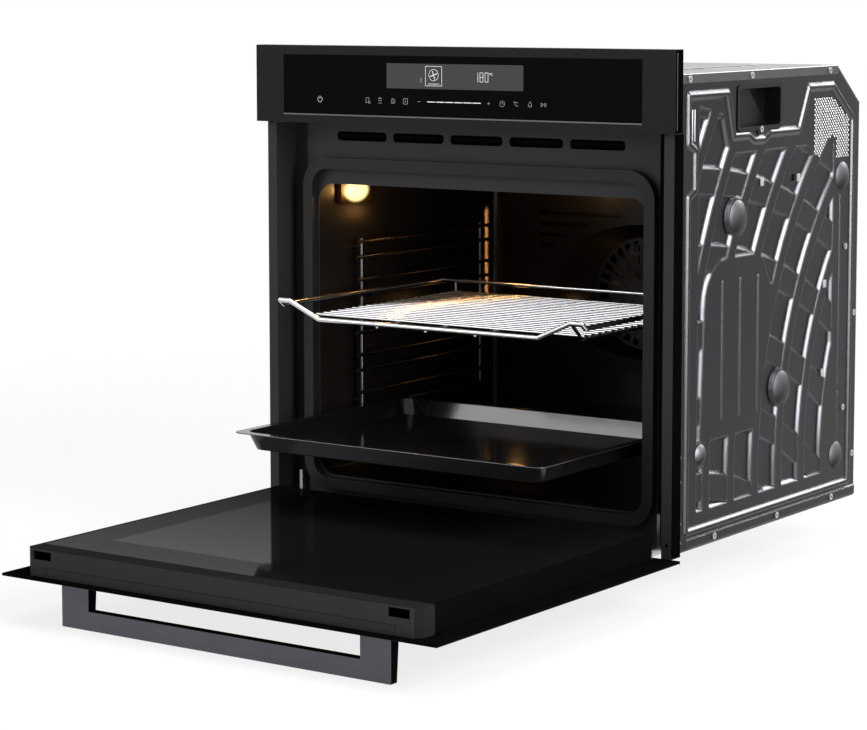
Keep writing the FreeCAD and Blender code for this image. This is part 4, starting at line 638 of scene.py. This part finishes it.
# The floor is pale all over; near the object it keeps the shadow, far off it is plain white.
def makeFloor():
    bpy.ops.object.select_all(action="DESELECT")
    bpy.ops.mesh.primitive_plane_add(
        size=studio["floorSize"], location=(0, 0, cadBox[0][2] - studio["floorDrop"])
    )
    floor = bpy.context.object
    floor.name = "studioFloor"
    shader = Shader("studioFloor")
    shader.set(
        Base_Color=rgba(studio["floorColour"]),
        Roughness=studio["floorRough"],
        Specular_IOR_Level=0.0,
    )
    distance = shader.vectorMaths("LENGTH", shader.place)
    white = shader.ramp(distance, studio["shadeReach"], (studio["paleFloor"], 1.0))
    shader.cover(shader.node("ShaderNodeEmission"), white * lookingRays(shader))
    floor.data.materials.append(shader.material)


def makeRoom():
    world = bpy.data.worlds.new("studioRoom")
    bpy.context.scene.world = world
    tree = Tree(world)
    background = tree.nodes["Background"]
    tree.feed(background.inputs["Color"], (1, 1, 1, 1))
    level = tree.node("ShaderNodeMix", None, {0: lookingRays(tree), 2: studio["ambient"], 3: 1.0})
    tree.feed(background.inputs["Strength"], level)


makeFloor()
makeRoom()

# Softboxes; the tall one on the right is what the slopes of the pressed side shine back.
lamps = {
    "tallBox": {
        "at": (2.95, -1.30, 1.25), "size": (1.1, 2.7), "power": 105, "aim": (0.28, 0.05, 0.9),
    },
    "frontBox": {
        "at": (-2.2, -3.0, 2.0), "size": (1.6, 1.2), "power": 40, "aim": (0, -0.3, 0.2),
    },
    "topBox": {
        "at": (0.1, -0.5, 3.0), "size": (2.2, 1.6), "power": 45, "aim": (0.1, 0, 0.3),
    },
    "highBox": {
        "at": (2.75, -0.40, 2.15), "size": (1.3, 1.3), "power": 62, "aim": (0.28, 0.05, 0.4),
    },
    "rearBox": {
        "at": (0.75, 2.9, 1.75), "size": (1.4, 1.4), "power": 62, "aim": (0.28, 0.1, 0.3),
    },
}


# Adds a lamp that the camera doesn't see: a box if it has a size, or else a small ball.
def addLamp(name, lamp):
    boxed = "size" in lamp
    bpy.ops.object.light_add(type="AREA" if boxed else "POINT", location=lamp["at"])
    light = bpy.context.object
    light.name = name
    light.data.energy = lamp["power"]
    light.visible_camera = False
    if boxed:
        light.data.shape = "RECTANGLE"
        light.data.size, light.data.size_y = lamp["size"]
    return light


def turnLamp(light, direction):
    light.rotation_euler = direction.to_track_quat("-Z", "Y").to_euler()


for name, lamp in lamps.items():
    turnLamp(addLamp(name, lamp), Vector(lamp["aim"]) - Vector(lamp["at"]))

# Warm light in the cavity: the oven's own lamp throws it from behind its glass, and the
# enamel of the left wall and of the rear corner shines it back.
lampLow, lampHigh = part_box("lamp_glass")
linerLow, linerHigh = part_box("cavity_liner")
warmColour = (1.0, 0.50, 0.14)
warmLamps = {
    "ovenLight": {
        "at": (lampHigh.x + 0.012, (lampLow.y + lampHigh.y) / 2, (lampLow.z + lampHigh.z) / 2),
        "power": 0.40, "radius": 0.010,
    },
    "upperGlint": {"at": (linerLow.x + 0.08, -0.04, 0.36), "power": 0.03, "radius": 0.010},
    "lowerGlint": {"at": (linerLow.x + 0.09, 0.10, 0.22), "power": 0.02, "radius": 0.010},
    "cornerLight": {
        "at": (linerLow.x + 0.024, linerHigh.y - 0.022, linerHigh.z - 0.150), "power": 0.26,
        "size": (0.003, 0.15), "towards": (-1, 0.25, 0), "spread": 26,
    },
}

for name, lamp in warmLamps.items():
    light = addLamp(name, lamp)
    light.data.color = warmColour
    if "towards" in lamp:
        turnLamp(light, Vector(lamp["towards"]))
        light.data.spread = math.radians(lamp["spread"])
        light.visible_glossy = False
    else:
        light.data.shadow_soft_size = lamp["radius"]
print("studio ready")


# Modelling helpers
def clearChoice():
    if bpy.context.mode != "OBJECT":
        bpy.ops.object.mode_set(mode="OBJECT")
    bpy.ops.object.select_all(action="DESELECT")


def choose(objects):
    clearChoice()
    for piece in objects:
        piece.select_set(True)
    bpy.context.view_layer.objects.active = objects[0]


def joinPieces(objects):
    choose(objects)
    if len(objects) > 1:
        bpy.ops.object.join()
    return bpy.context.object


def bakePlace():
    bpy.ops.object.transform_apply(location=True, rotation=True, scale=True)


# Opens the mesh of the chosen object with everything selected.
def openMesh():
    bpy.ops.object.mode_set(mode="EDIT")
    bpy.ops.mesh.select_all(action="SELECT")


def closeMesh():
    bpy.ops.object.mode_set(mode="OBJECT")


# Bakes a piece's place into its mesh, gives it its finish and lets it ride on its body.
def settle(piece, name, finish, body):
    choose([piece])
    bakePlace()
    piece.name = name
    piece.data.name = name
    piece.data.materials.clear()
    piece.data.materials.append(made[finish])
    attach(piece, body)


def smoothPiece(piece, angle=40):
    choose([piece])
    bpy.ops.object.shade_smooth_by_angle(angle=math.radians(angle))


def roundOff(piece, width, segments):
    choose([piece])
    modifier = piece.modifiers.new("bevel", "BEVEL")
    modifier.width = width
    modifier.segments = segments
    modifier.limit_method = "ANGLE"
    bpy.ops.object.modifier_apply(modifier=modifier.name)


# Copies one finished shape to many places and joins them; the first is used up.
def repeatPiece(piece, places):
    clearChoice()
    copies = []
    for place in places:
        copy = piece.copy()
        copy.data = piece.data.copy()
        copy.location = place
        bpy.context.collection.objects.link(copy)
        copies.append(copy)
    bpy.data.objects.remove(piece)
    return joinPieces(copies)


# A block with rounded edges, the start of clips, caps and straps.
def softBlock(size, bevel, place=(0, 0, 0), steps=2, turn=0):
    clearChoice()
    bpy.ops.mesh.primitive_cube_add(
        size=1, location=place, scale=size, rotation=(math.radians(turn), 0, 0)
    )
    bakePlace()
    block = bpy.context.object
    roundOff(block, bevel, steps)
    return block


# The outer faces of the sides stand this far out; each side has its name and direction.
casing = {"face": 0.279, "sides": (("left", -1), ("right", 1))}


# A flat disc that faces out of a side, left open for shaping.
def openDisc(sectors, radius, sign, place=(0, 0, 0)):
    clearChoice()
    bpy.ops.mesh.primitive_circle_add(
        vertices=sectors, radius=radius, fill_type="NGON",
        rotation=(0, math.radians(90) * sign, 0), location=place,
    )
    bakePlace()
    openMesh()
    return bpy.context.object


# Insets the selected faces of a side's disc and lifts them out of the side.
def stepOut(inset, rise, sign):
    bpy.ops.mesh.inset(thickness=inset)
    bpy.ops.transform.translate(value=(rise * sign, 0, 0))


# The vent at the top back of each side: small punched holes with drawn rims, and near-black discs
# in the holes as painted shade
sideVent = {
    "outline": [
        (0.111, 0.516), (0.160, 0.516), (0.208, 0.486), (0.208, 0.440), (0.172, 0.440),
        (0.172, 0.464), (0.158, 0.468), (0.126, 0.442), (0.111, 0.448),
    ],
    "depths": (0.110, 0.210), "heights": (0.440, 0.517), "pitch": 0.0064, "row": 0.0032,
    "sectors": 8, "rim": 0.0016, "hole": 0.0008, "proud": 0.00035, "sunk": 0.00025,
    "darkShare": 1.12, "darkInset": 0.3, "darkRise": 0.00012,
}


def insideOutline(outline, a, b):
    hits = 0
    for (a0, b0), (a1, b1) in zip(outline, outline[1:] + outline[:1]):
        if (b0 > b) != (b1 > b) and a < a0 + (b - b0) * (a1 - a0) / (b1 - b0):
            hits += 1
    return hits % 2 == 1


# Every second row is shifted by half a pitch.
def ventPlaces(face):
    places = []
    z, top = sideVent["heights"]
    shifted = 0
    while z < top:
        y, back = sideVent["depths"]
        y += shifted * sideVent["pitch"] / 2
        while y < back:
            if insideOutline(sideVent["outline"], y, z):
                places.append((face, y, z))
            y += sideVent["pitch"]
        z += sideVent["row"]
        shifted = 1 - shifted
    return places


def makeSideVent(side, sign):
    places = ventPlaces(casing["face"] * sign)
    wall = (sideVent["rim"] - sideVent["hole"]) / 2
    rim = openDisc(sideVent["sectors"], sideVent["rim"], sign)
    stepOut(wall, sideVent["proud"], sign)
    stepOut(wall, -sideVent["sunk"], sign)
    bpy.ops.mesh.delete(type="ONLY_FACE")
    closeMesh()
    settle(repeatPiece(rim, places), f"ventRims_{side}", "bareSteel", "oven")
    # Near-black discs in the holes: painted shade.
    hole = openDisc(sideVent["sectors"], sideVent["hole"] * sideVent["darkShare"], sign)
    bpy.ops.mesh.inset(thickness=sideVent["hole"] * sideVent["darkInset"])
    closeMesh()
    holeShades = repeatPiece(hole, [(x + sideVent["darkRise"] * sign, y, z) for x, y, z in places])
    settle(holeShades, f"ventHoleShade_{side}", "shadeAndJointBlack", "oven")


# Cross recesses in the screw heads, drawn as near-black crosses of painted shade; a head's points
# lie nearer together than "head".
screwCross = {
    "arm": 0.0040, "bar": 0.0010, "deep": 0.00024, "bevel": 0.0001, "proud": 0.00003, "head": 0.011,
}


# Finds the separate heads of a screw node, and gives the box of each.
def headsOf(node):
    spots = []
    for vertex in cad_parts[node].data.vertices:
        for spot in spots:
            if (spot[0] - vertex.co).length < screwCross["head"]:
                spot.append(vertex.co.copy())
                break
        else:
            spots.append([vertex.co.copy()])
    heads = []
    for spot in spots:
        low = Vector([min(point[i] for point in spot) for i in range(3)])
        high = Vector([max(point[i] for point in spot) for i in range(3)])
        heads.append((low, high))
    return heads


def makeScrewCrosses(side, sign):
    places = []
    for low, high in headsOf(f"side_screws_{side}"):
        face = high.x if sign > 0 else low.x
        places.append((
            face + screwCross["proud"] * sign, (low.y + high.y) / 2, (low.z + high.z) / 2,
        ))
    deep, arm, bar = screwCross["deep"], screwCross["arm"], screwCross["bar"]
    level = softBlock((deep, arm, bar), screwCross["bevel"], steps=1)
    upright = softBlock((deep, bar, arm), screwCross["bevel"], steps=1)
    crosses = repeatPiece(joinPieces([level, upright]), places)
    settle(crosses, f"screwCrossShade_{side}", "shadeAndJointBlack", "oven")


# Spring nuts and the folded bracket that show in the pressed side
sideClips = {
    "nuts": [(-0.025, 0.420), (0.070, 0.420), (0.145, 0.282), (0.143, 0.170)],
    "nut": (0.0016, 0.0085, 0.0095), "nutBevel": 0.0006, "nutSunk": 0.0002,
    "stud": 0.0018, "studLength": 0.0030, "studSectors": 16, "studBevel": 0.0004,
    "folds": [-0.2030, -0.1975, -0.1920], "fold": (0.0022, 0.0020, 0.037),
    "foldMiddle": 0.495, "foldBevel": 0.0007,
}


def makeSideClips(side, sign):
    face = casing["face"] * sign
    nut = softBlock(sideClips["nut"], sideClips["nutBevel"])
    clearChoice()
    bpy.ops.mesh.primitive_cylinder_add(
        vertices=sideClips["studSectors"], radius=sideClips["stud"],
        depth=sideClips["studLength"], rotation=(0, math.radians(90), 0),
    )
    stud = bpy.context.object
    bakePlace()
    roundOff(stud, sideClips["studBevel"], 2)
    nutX = face - sideClips["nutSunk"] * sign
    nuts = repeatPiece(joinPieces([nut, stud]), [(nutX, y, z) for y, z in sideClips["nuts"]])
    smoothPiece(nuts)
    settle(nuts, f"springNuts_{side}", "bareSteel", "oven")
    fold = softBlock(sideClips["fold"], sideClips["foldBevel"], steps=3)
    folds = repeatPiece(fold, [(face, y, sideClips["foldMiddle"]) for y in sideClips["folds"]])
    smoothPiece(folds)
    settle(folds, f"bracketFolds_{side}", "bareSteel", "oven")


# Smooth caps on the domes of the sides: distance behind the front, height, radius
sideDomes = {
    "spots": [
        (0.151, 0.382, 0.020), (0.267, 0.165, 0.020), (0.427, 0.414, 0.018),
        (0.419, 0.059, 0.017), (0.065, 0.109, 0.012),
    ],
    "skirt": 0.0004, "rise": 0.0054, "rings": 9, "sectors": 40, "power": 0.85,
}


def makeSideDomes(side, sign):
    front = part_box(f"side_panel_{side}")[0].y
    rings = sideDomes["rings"]
    caps = []
    for back, height, domeRadius in sideDomes["spots"]:
        radius = domeRadius + sideDomes["skirt"]
        place = (casing["face"] * sign, front + back, height)
        caps.append(openDisc(sideDomes["sectors"], radius, sign, place))
        reached = 0.0
        for ring in range(1, rings):
            share = 1 - ring / rings
            rise = sideDomes["rise"] * (1 - share ** 2) ** sideDomes["power"]
            stepOut(radius / rings, rise - reached, sign)
            reached = rise
        closeMesh()
    domes = joinPieces(caps)
    smoothPiece(domes)
    settle(domes, f"domeCaps_{side}", "domeSheet", "oven")


for side, sign in casing["sides"]:
    makeSideDomes(side, sign)
    makeSideVent(side, sign)
    makeScrewCrosses(side, sign)
    makeSideClips(side, sign)
print("side details made")

# Caps on the ends of the control panel, black plastic, and on the ends of the front frame,
# near-black sheets of painted shade on its flanks
endCaps = {
    "thick": 0.0006, "bevel": 0.0002, "edge": 0.0010,
    "frameBack": -0.2365, "frameHeights": (0.001, 0.488),
    "line": (0.0006, 0.0010, 0.087), "lineBehind": 0.0040, "lineOut": 1.0015,
}


def makeEndCaps():
    low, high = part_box("control_fascia")
    frameLow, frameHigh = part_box("front_frame")
    bevel, edge, middle = endCaps["bevel"], endCaps["edge"], (low.z + high.z) / 2
    caps, lines = [], []
    for x in (low.x, high.x):
        caps.append(softBlock(
            (endCaps["thick"], high.y - low.y - edge, high.z - low.z - edge), bevel,
            (x, (low.y + edge + high.y) / 2, middle),
        ))
        place = (x * endCaps["lineOut"], low.y + endCaps["lineBehind"], middle)
        lines.append(softBlock(endCaps["line"], bevel, place))
    back = endCaps["frameBack"]
    bottom, top = endCaps["frameHeights"]
    for x in (frameLow.x, frameHigh.x):
        caps.append(softBlock(
            (endCaps["thick"], back - frameLow.y, top - bottom), bevel,
            (x, (frameLow.y + back) / 2, (top + bottom) / 2),
        ))
    settle(joinPieces(caps), "endCaps", "capAndFlankShadeBlack", "oven")
    settle(joinPieces(lines), "fasciaEdges", "stripSteel", "oven")


makeEndCaps()

# The rolled edge of the baking tray, sunk into its rim by a share of the radius
trayBead = {
    "radius": 0.0007, "roundness": 2, "sunk": 0.6, "drop": 0.0006, "corner": 0.012,
    "cornerSteps": 8, "smooth": 60,
}


def makeTrayBead():
    low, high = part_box("baking_tray")
    inset = trayBead["radius"] * trayBead["sunk"]
    clearChoice()
    bpy.ops.mesh.primitive_plane_add(
        size=1, location=((low.x + high.x) / 2, (low.y + high.y) / 2, high.z - trayBead["drop"])
    )
    bead = bpy.context.object
    bead.scale = (high.x - low.x - 2 * inset, high.y - low.y - 2 * inset, 1)
    bakePlace()
    openMesh()
    bpy.ops.mesh.delete(type="ONLY_FACE")
    bpy.ops.mesh.select_all(action="SELECT")
    bpy.ops.mesh.bevel(
        offset=trayBead["corner"] - inset, segments=trayBead["cornerSteps"], affect="VERTICES"
    )
    closeMesh()
    bpy.ops.object.convert(target="CURVE")
    bead = bpy.context.object
    bead.data.bevel_depth = trayBead["radius"]
    bead.data.bevel_resolution = trayBead["roundness"]
    bpy.ops.object.convert(target="MESH")
    bead = bpy.context.object
    smoothPiece(bead, trayBead["smooth"])
    settle(bead, "trayBead", "rimEnamel", "tray")


makeTrayBead()

# Louvres in the air outlet, behind the slots of the front frame, in near-black as painted shade
# inside the slots
louvres = {
    "blade": (0.428, 0.0105, 0.0006), "bevel": 0.0001, "tilt": -45,
    "middle": -0.2165, "lowest": 0.4560, "pitch": 0.0067, "count": 5,
}


def makeLouvres():
    blade = softBlock(louvres["blade"], louvres["bevel"], turn=louvres["tilt"])
    heights = [louvres["lowest"] + i * louvres["pitch"] for i in range(louvres["count"])]
    blades = repeatPiece(blade, [(0, louvres["middle"], height) for height in heights])
    settle(blades, "slotShadeLouvres", "shadeAndJointBlack", "oven")


makeLouvres()

# Seams, as dark joints, and the crease of the trim on the door's top edge, as painted shade, drawn
# as near-black lines
trimLines = {
    "crease": 0.011, "wide": 0.0005, "deep": 0.0003, "inset": 0.022, "bevel": 0.0001,
    "seams": (-0.239, 0.239), "seamGap": 0.001,
}


def makeTrimLines():
    low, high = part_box("door_top_trim")
    wide, deep, crease = trimLines["wide"], trimLines["deep"], trimLines["crease"]
    run = high.x - low.x - 2 * trimLines["inset"]
    bevel = trimLines["bevel"]
    lines = [softBlock((run, deep, wide), bevel, (0, low.y, low.z + crease), 1)]
    for x in trimLines["seams"]:
        seam = (wide, deep, crease - trimLines["seamGap"])
        lines.append(softBlock(seam, bevel, (x, low.y, low.z + crease / 2), 1))
    settle(joinPieces(lines), "trimLines", "shadeAndJointBlack", "door")


makeTrimLines()
print("caps and seams made")

# Signs on the control glass. Heights count from the underside of the glass, and in the power
# sign and the touch row from the middle of that row. In a sign, a list of points is a line,
# and a tuple is an arc: its middle, radius, start, sweep and steps.
panelSigns = {
    "row": 0.0178, "thick": 0.00012, "stroke": 0.00036, "overlap": 0.6,
    "window": {"edges": (-0.0987, 0.0960, 0.0331, 0.0631), "thick": 0.00006, "proud": 0.00002},
}
temperature = {
    "place": (0.0285, 0.0428), "digit": (0.0042, 0.0108), "step": 0.0072, "stroke": 0.00056,
    "lit": ("bc", "abcdefg", "abcdef"), "unitStroke": 0.0004,
    "unit": [(0.0496, 0.0524, 0.0009, 0, 360, 10), (0.0523, 0.0519, 0.0014, 45, 270, 8)],
}
framedFan = {
    "edges": (-0.0420, -0.0186, 0.0370, 0.0601), "frameStroke": 0.0005, "raised": 0.0012,
    "ring": 0.0068, "ringSteps": 20, "blade": 0.0052, "blades": 4, "turned": 20,
    "bladeStroke": 0.0009, "lineInset": 0.004, "lineHeight": 0.0022, "lineStroke": 0.0006,
}
levelMark = {
    "stroke": 0.0004,
    "parts": [
        [(-0.0498, 0.0425), (-0.0485, 0.0462), (-0.0472, 0.0425)],
        (-0.0485, 0.0420, 0.0013, 180, 180, 6),
    ],
}
slider = {"ends": (-0.0402, 0.0375), "count": 6, "gap": 0.0010, "stroke": 0.0010}
powerSign = [(-0.199, 0, 0.0034, 120, 300, 16), [(-0.199, 0.0005), (-0.199, 0.0040)]]
touchRow = {
    "page": [
        [(-0.1295, -0.003), (-0.1295, 0.003), (-0.125, 0.003), (-0.125, -0.001),
         (-0.1295, -0.003)],
        (-0.1245, -0.0025, 0.0014, 0, 360, 10),
    ],
    "list": [
        [(-0.1112, -0.003), (-0.1062, -0.003)], [(-0.1112, 0), (-0.1062, 0)],
        [(-0.1112, 0.003), (-0.1062, 0.003)], (-0.1087, 0.0015, 0.0022, 0, 180, 8),
    ],
    "swirl": [
        (-0.0897, 0, 0.0032, 200, 300, 14), (-0.0897, 0, 0.0017, 20, 300, 10),
    ],
    "box": [
        [(-0.0741, -0.0034), (-0.0681, -0.0034), (-0.0681, 0.0034), (-0.0741, 0.0034),
         (-0.0741, -0.0034)],
        [(-0.0711, -0.0016), (-0.0711, 0.0016)],
    ],
    "minus": [[(-0.0535, 0), (-0.0497, 0)]],
    "plus": [[(0.0463, 0), (0.0497, 0)], [(0.048, -0.0017), (0.048, 0.0017)]],
    "clock": [
        (0.0669, 0, 0.0034, 0, 360, 20), [(0.0669, 0.0022), (0.0669, 0), (0.0686, 0)],
    ],
    "degrees": [
        (0.0838, 0.0022, 0.0008, 0, 360, 8), (0.0872, 0, 0.0024, 50, 260, 8),
    ],
    "bell": [
        [(0.1028, -0.002), (0.1036, 0.001), (0.1053, 0.0032), (0.1070, 0.001), (0.1078, -0.002),
         (0.1028, -0.002)],
        [(0.1046, -0.0034), (0.1060, -0.0034)],
    ],
    "start": [
        [(0.1205, -0.0022), (0.1205, 0.0022), (0.1235, 0), (0.1205, -0.0022)],
        [(0.1253, -0.0022), (0.1253, 0.0022)], [(0.1272, -0.0022), (0.1272, 0.0022)],
    ],
}
digitEnds = {
    "a": ((0, 1), (1, 1)), "b": ((1, 1), (1, 0.5)), "c": ((1, 0.5), (1, 0)),
    "d": ((0, 0), (1, 0)), "e": ((0, 0.5), (0, 0)), "f": ((0, 1), (0, 0.5)),
    "g": ((0, 0.5), (1, 0.5)),
}
glassFront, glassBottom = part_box("control_glass")[0].yz


def signBar(x0, z0, x1, z1, width):
    length = math.hypot(x1 - x0, z1 - z0) + width * panelSigns["overlap"]
    bpy.ops.mesh.primitive_cube_add(
        size=1,
        location=(
            (x0 + x1) / 2, glassFront - panelSigns["thick"] / 2, glassBottom + (z0 + z1) / 2,
        ),
        rotation=(0, -math.atan2(z1 - z0, x1 - x0), 0),
        scale=(length, panelSigns["thick"], width),
    )
    return bpy.context.object


def signLine(points, width):
    return [signBar(*a, *b, width) for a, b in zip(points, points[1:])]


def signArc(x, z, radius, start, sweep, steps, width):
    angles = [math.radians(start + sweep * i / steps) for i in range(steps + 1)]
    points = [(x + radius * math.cos(angle), z + radius * math.sin(angle)) for angle in angles]
    return signLine(points, width)


def drawSign(parts, base=0, width=panelSigns["stroke"]):
    bars = []
    for part in parts:
        if isinstance(part, list):
            bars += signLine([(x, base + z) for x, z in part], width)
        else:
            x, z, *turn = part
            bars += signArc(x, base + z, *turn, width)
    return bars


def drawTemperature():
    x, z = temperature["place"]
    wide, tall = temperature["digit"]
    bars = []
    for lit in temperature["lit"]:
        for segment in lit:
            (a, b), (c, d) = digitEnds[segment]
            ends = (x + a * wide, z + b * tall, x + c * wide, z + d * tall)
            bars.append(signBar(*ends, temperature["stroke"]))
        x += temperature["step"]
    return bars + drawSign(temperature["unit"], width=temperature["unitStroke"])


def drawFan():
    left, right, low, high = framedFan["edges"]
    stroke = framedFan["frameStroke"]
    corners = [(left, low), (right, low), (right, high), (left, high), (left, low)]
    bars = signLine(corners, stroke)
    x, z = (left + right) / 2, (low + high) / 2 + framedFan["raised"]
    bars += signArc(x, z, framedFan["ring"], 0, 360, framedFan["ringSteps"], stroke)
    for i in range(framedFan["blades"]):
        angle = math.radians(360 / framedFan["blades"] * i + framedFan["turned"])
        reach = framedFan["blade"]
        tip = (x + reach * math.cos(angle), z + reach * math.sin(angle))
        bars += signLine([(x, z), tip], framedFan["bladeStroke"])
    inset, height = framedFan["lineInset"], low + framedFan["lineHeight"]
    bars += signLine([(left + inset, height), (right - inset, height)], framedFan["lineStroke"])
    return bars


def drawSlider(row):
    start, end = slider["ends"]
    pitch = (end - start) / slider["count"]
    bars = []
    for i in range(slider["count"]):
        first, last = start + pitch * i + slider["gap"], start + pitch * (i + 1) - slider["gap"]
        bars += signLine([(first, row), (last, row)], slider["stroke"])
    return bars


def makeSigns():
    clearChoice()
    row = panelSigns["row"]
    bright = drawTemperature() + drawFan() + drawSign(powerSign, row) + drawSlider(row)
    dim = drawSign(levelMark["parts"], width=levelMark["stroke"])
    for parts in touchRow.values():
        dim += drawSign(parts, row)
    settle(joinPieces(bright), "signsBright", "signWhite", "oven")
    settle(joinPieces(dim), "signsDim", "signGrey", "oven")


def makeWindow():
    window = panelSigns["window"]
    left, right, low, high = window["edges"]
    bpy.ops.mesh.primitive_cube_add(
        size=1,
        location=((left + right) / 2, glassFront - window["proud"], glassBottom + (low + high) / 2),
        scale=(right - left, window["thick"], high - low),
    )
    settle(bpy.context.object, "displayWindow", "displayGrey", "oven")


makeSigns()
makeWindow()
print("control signs drawn")
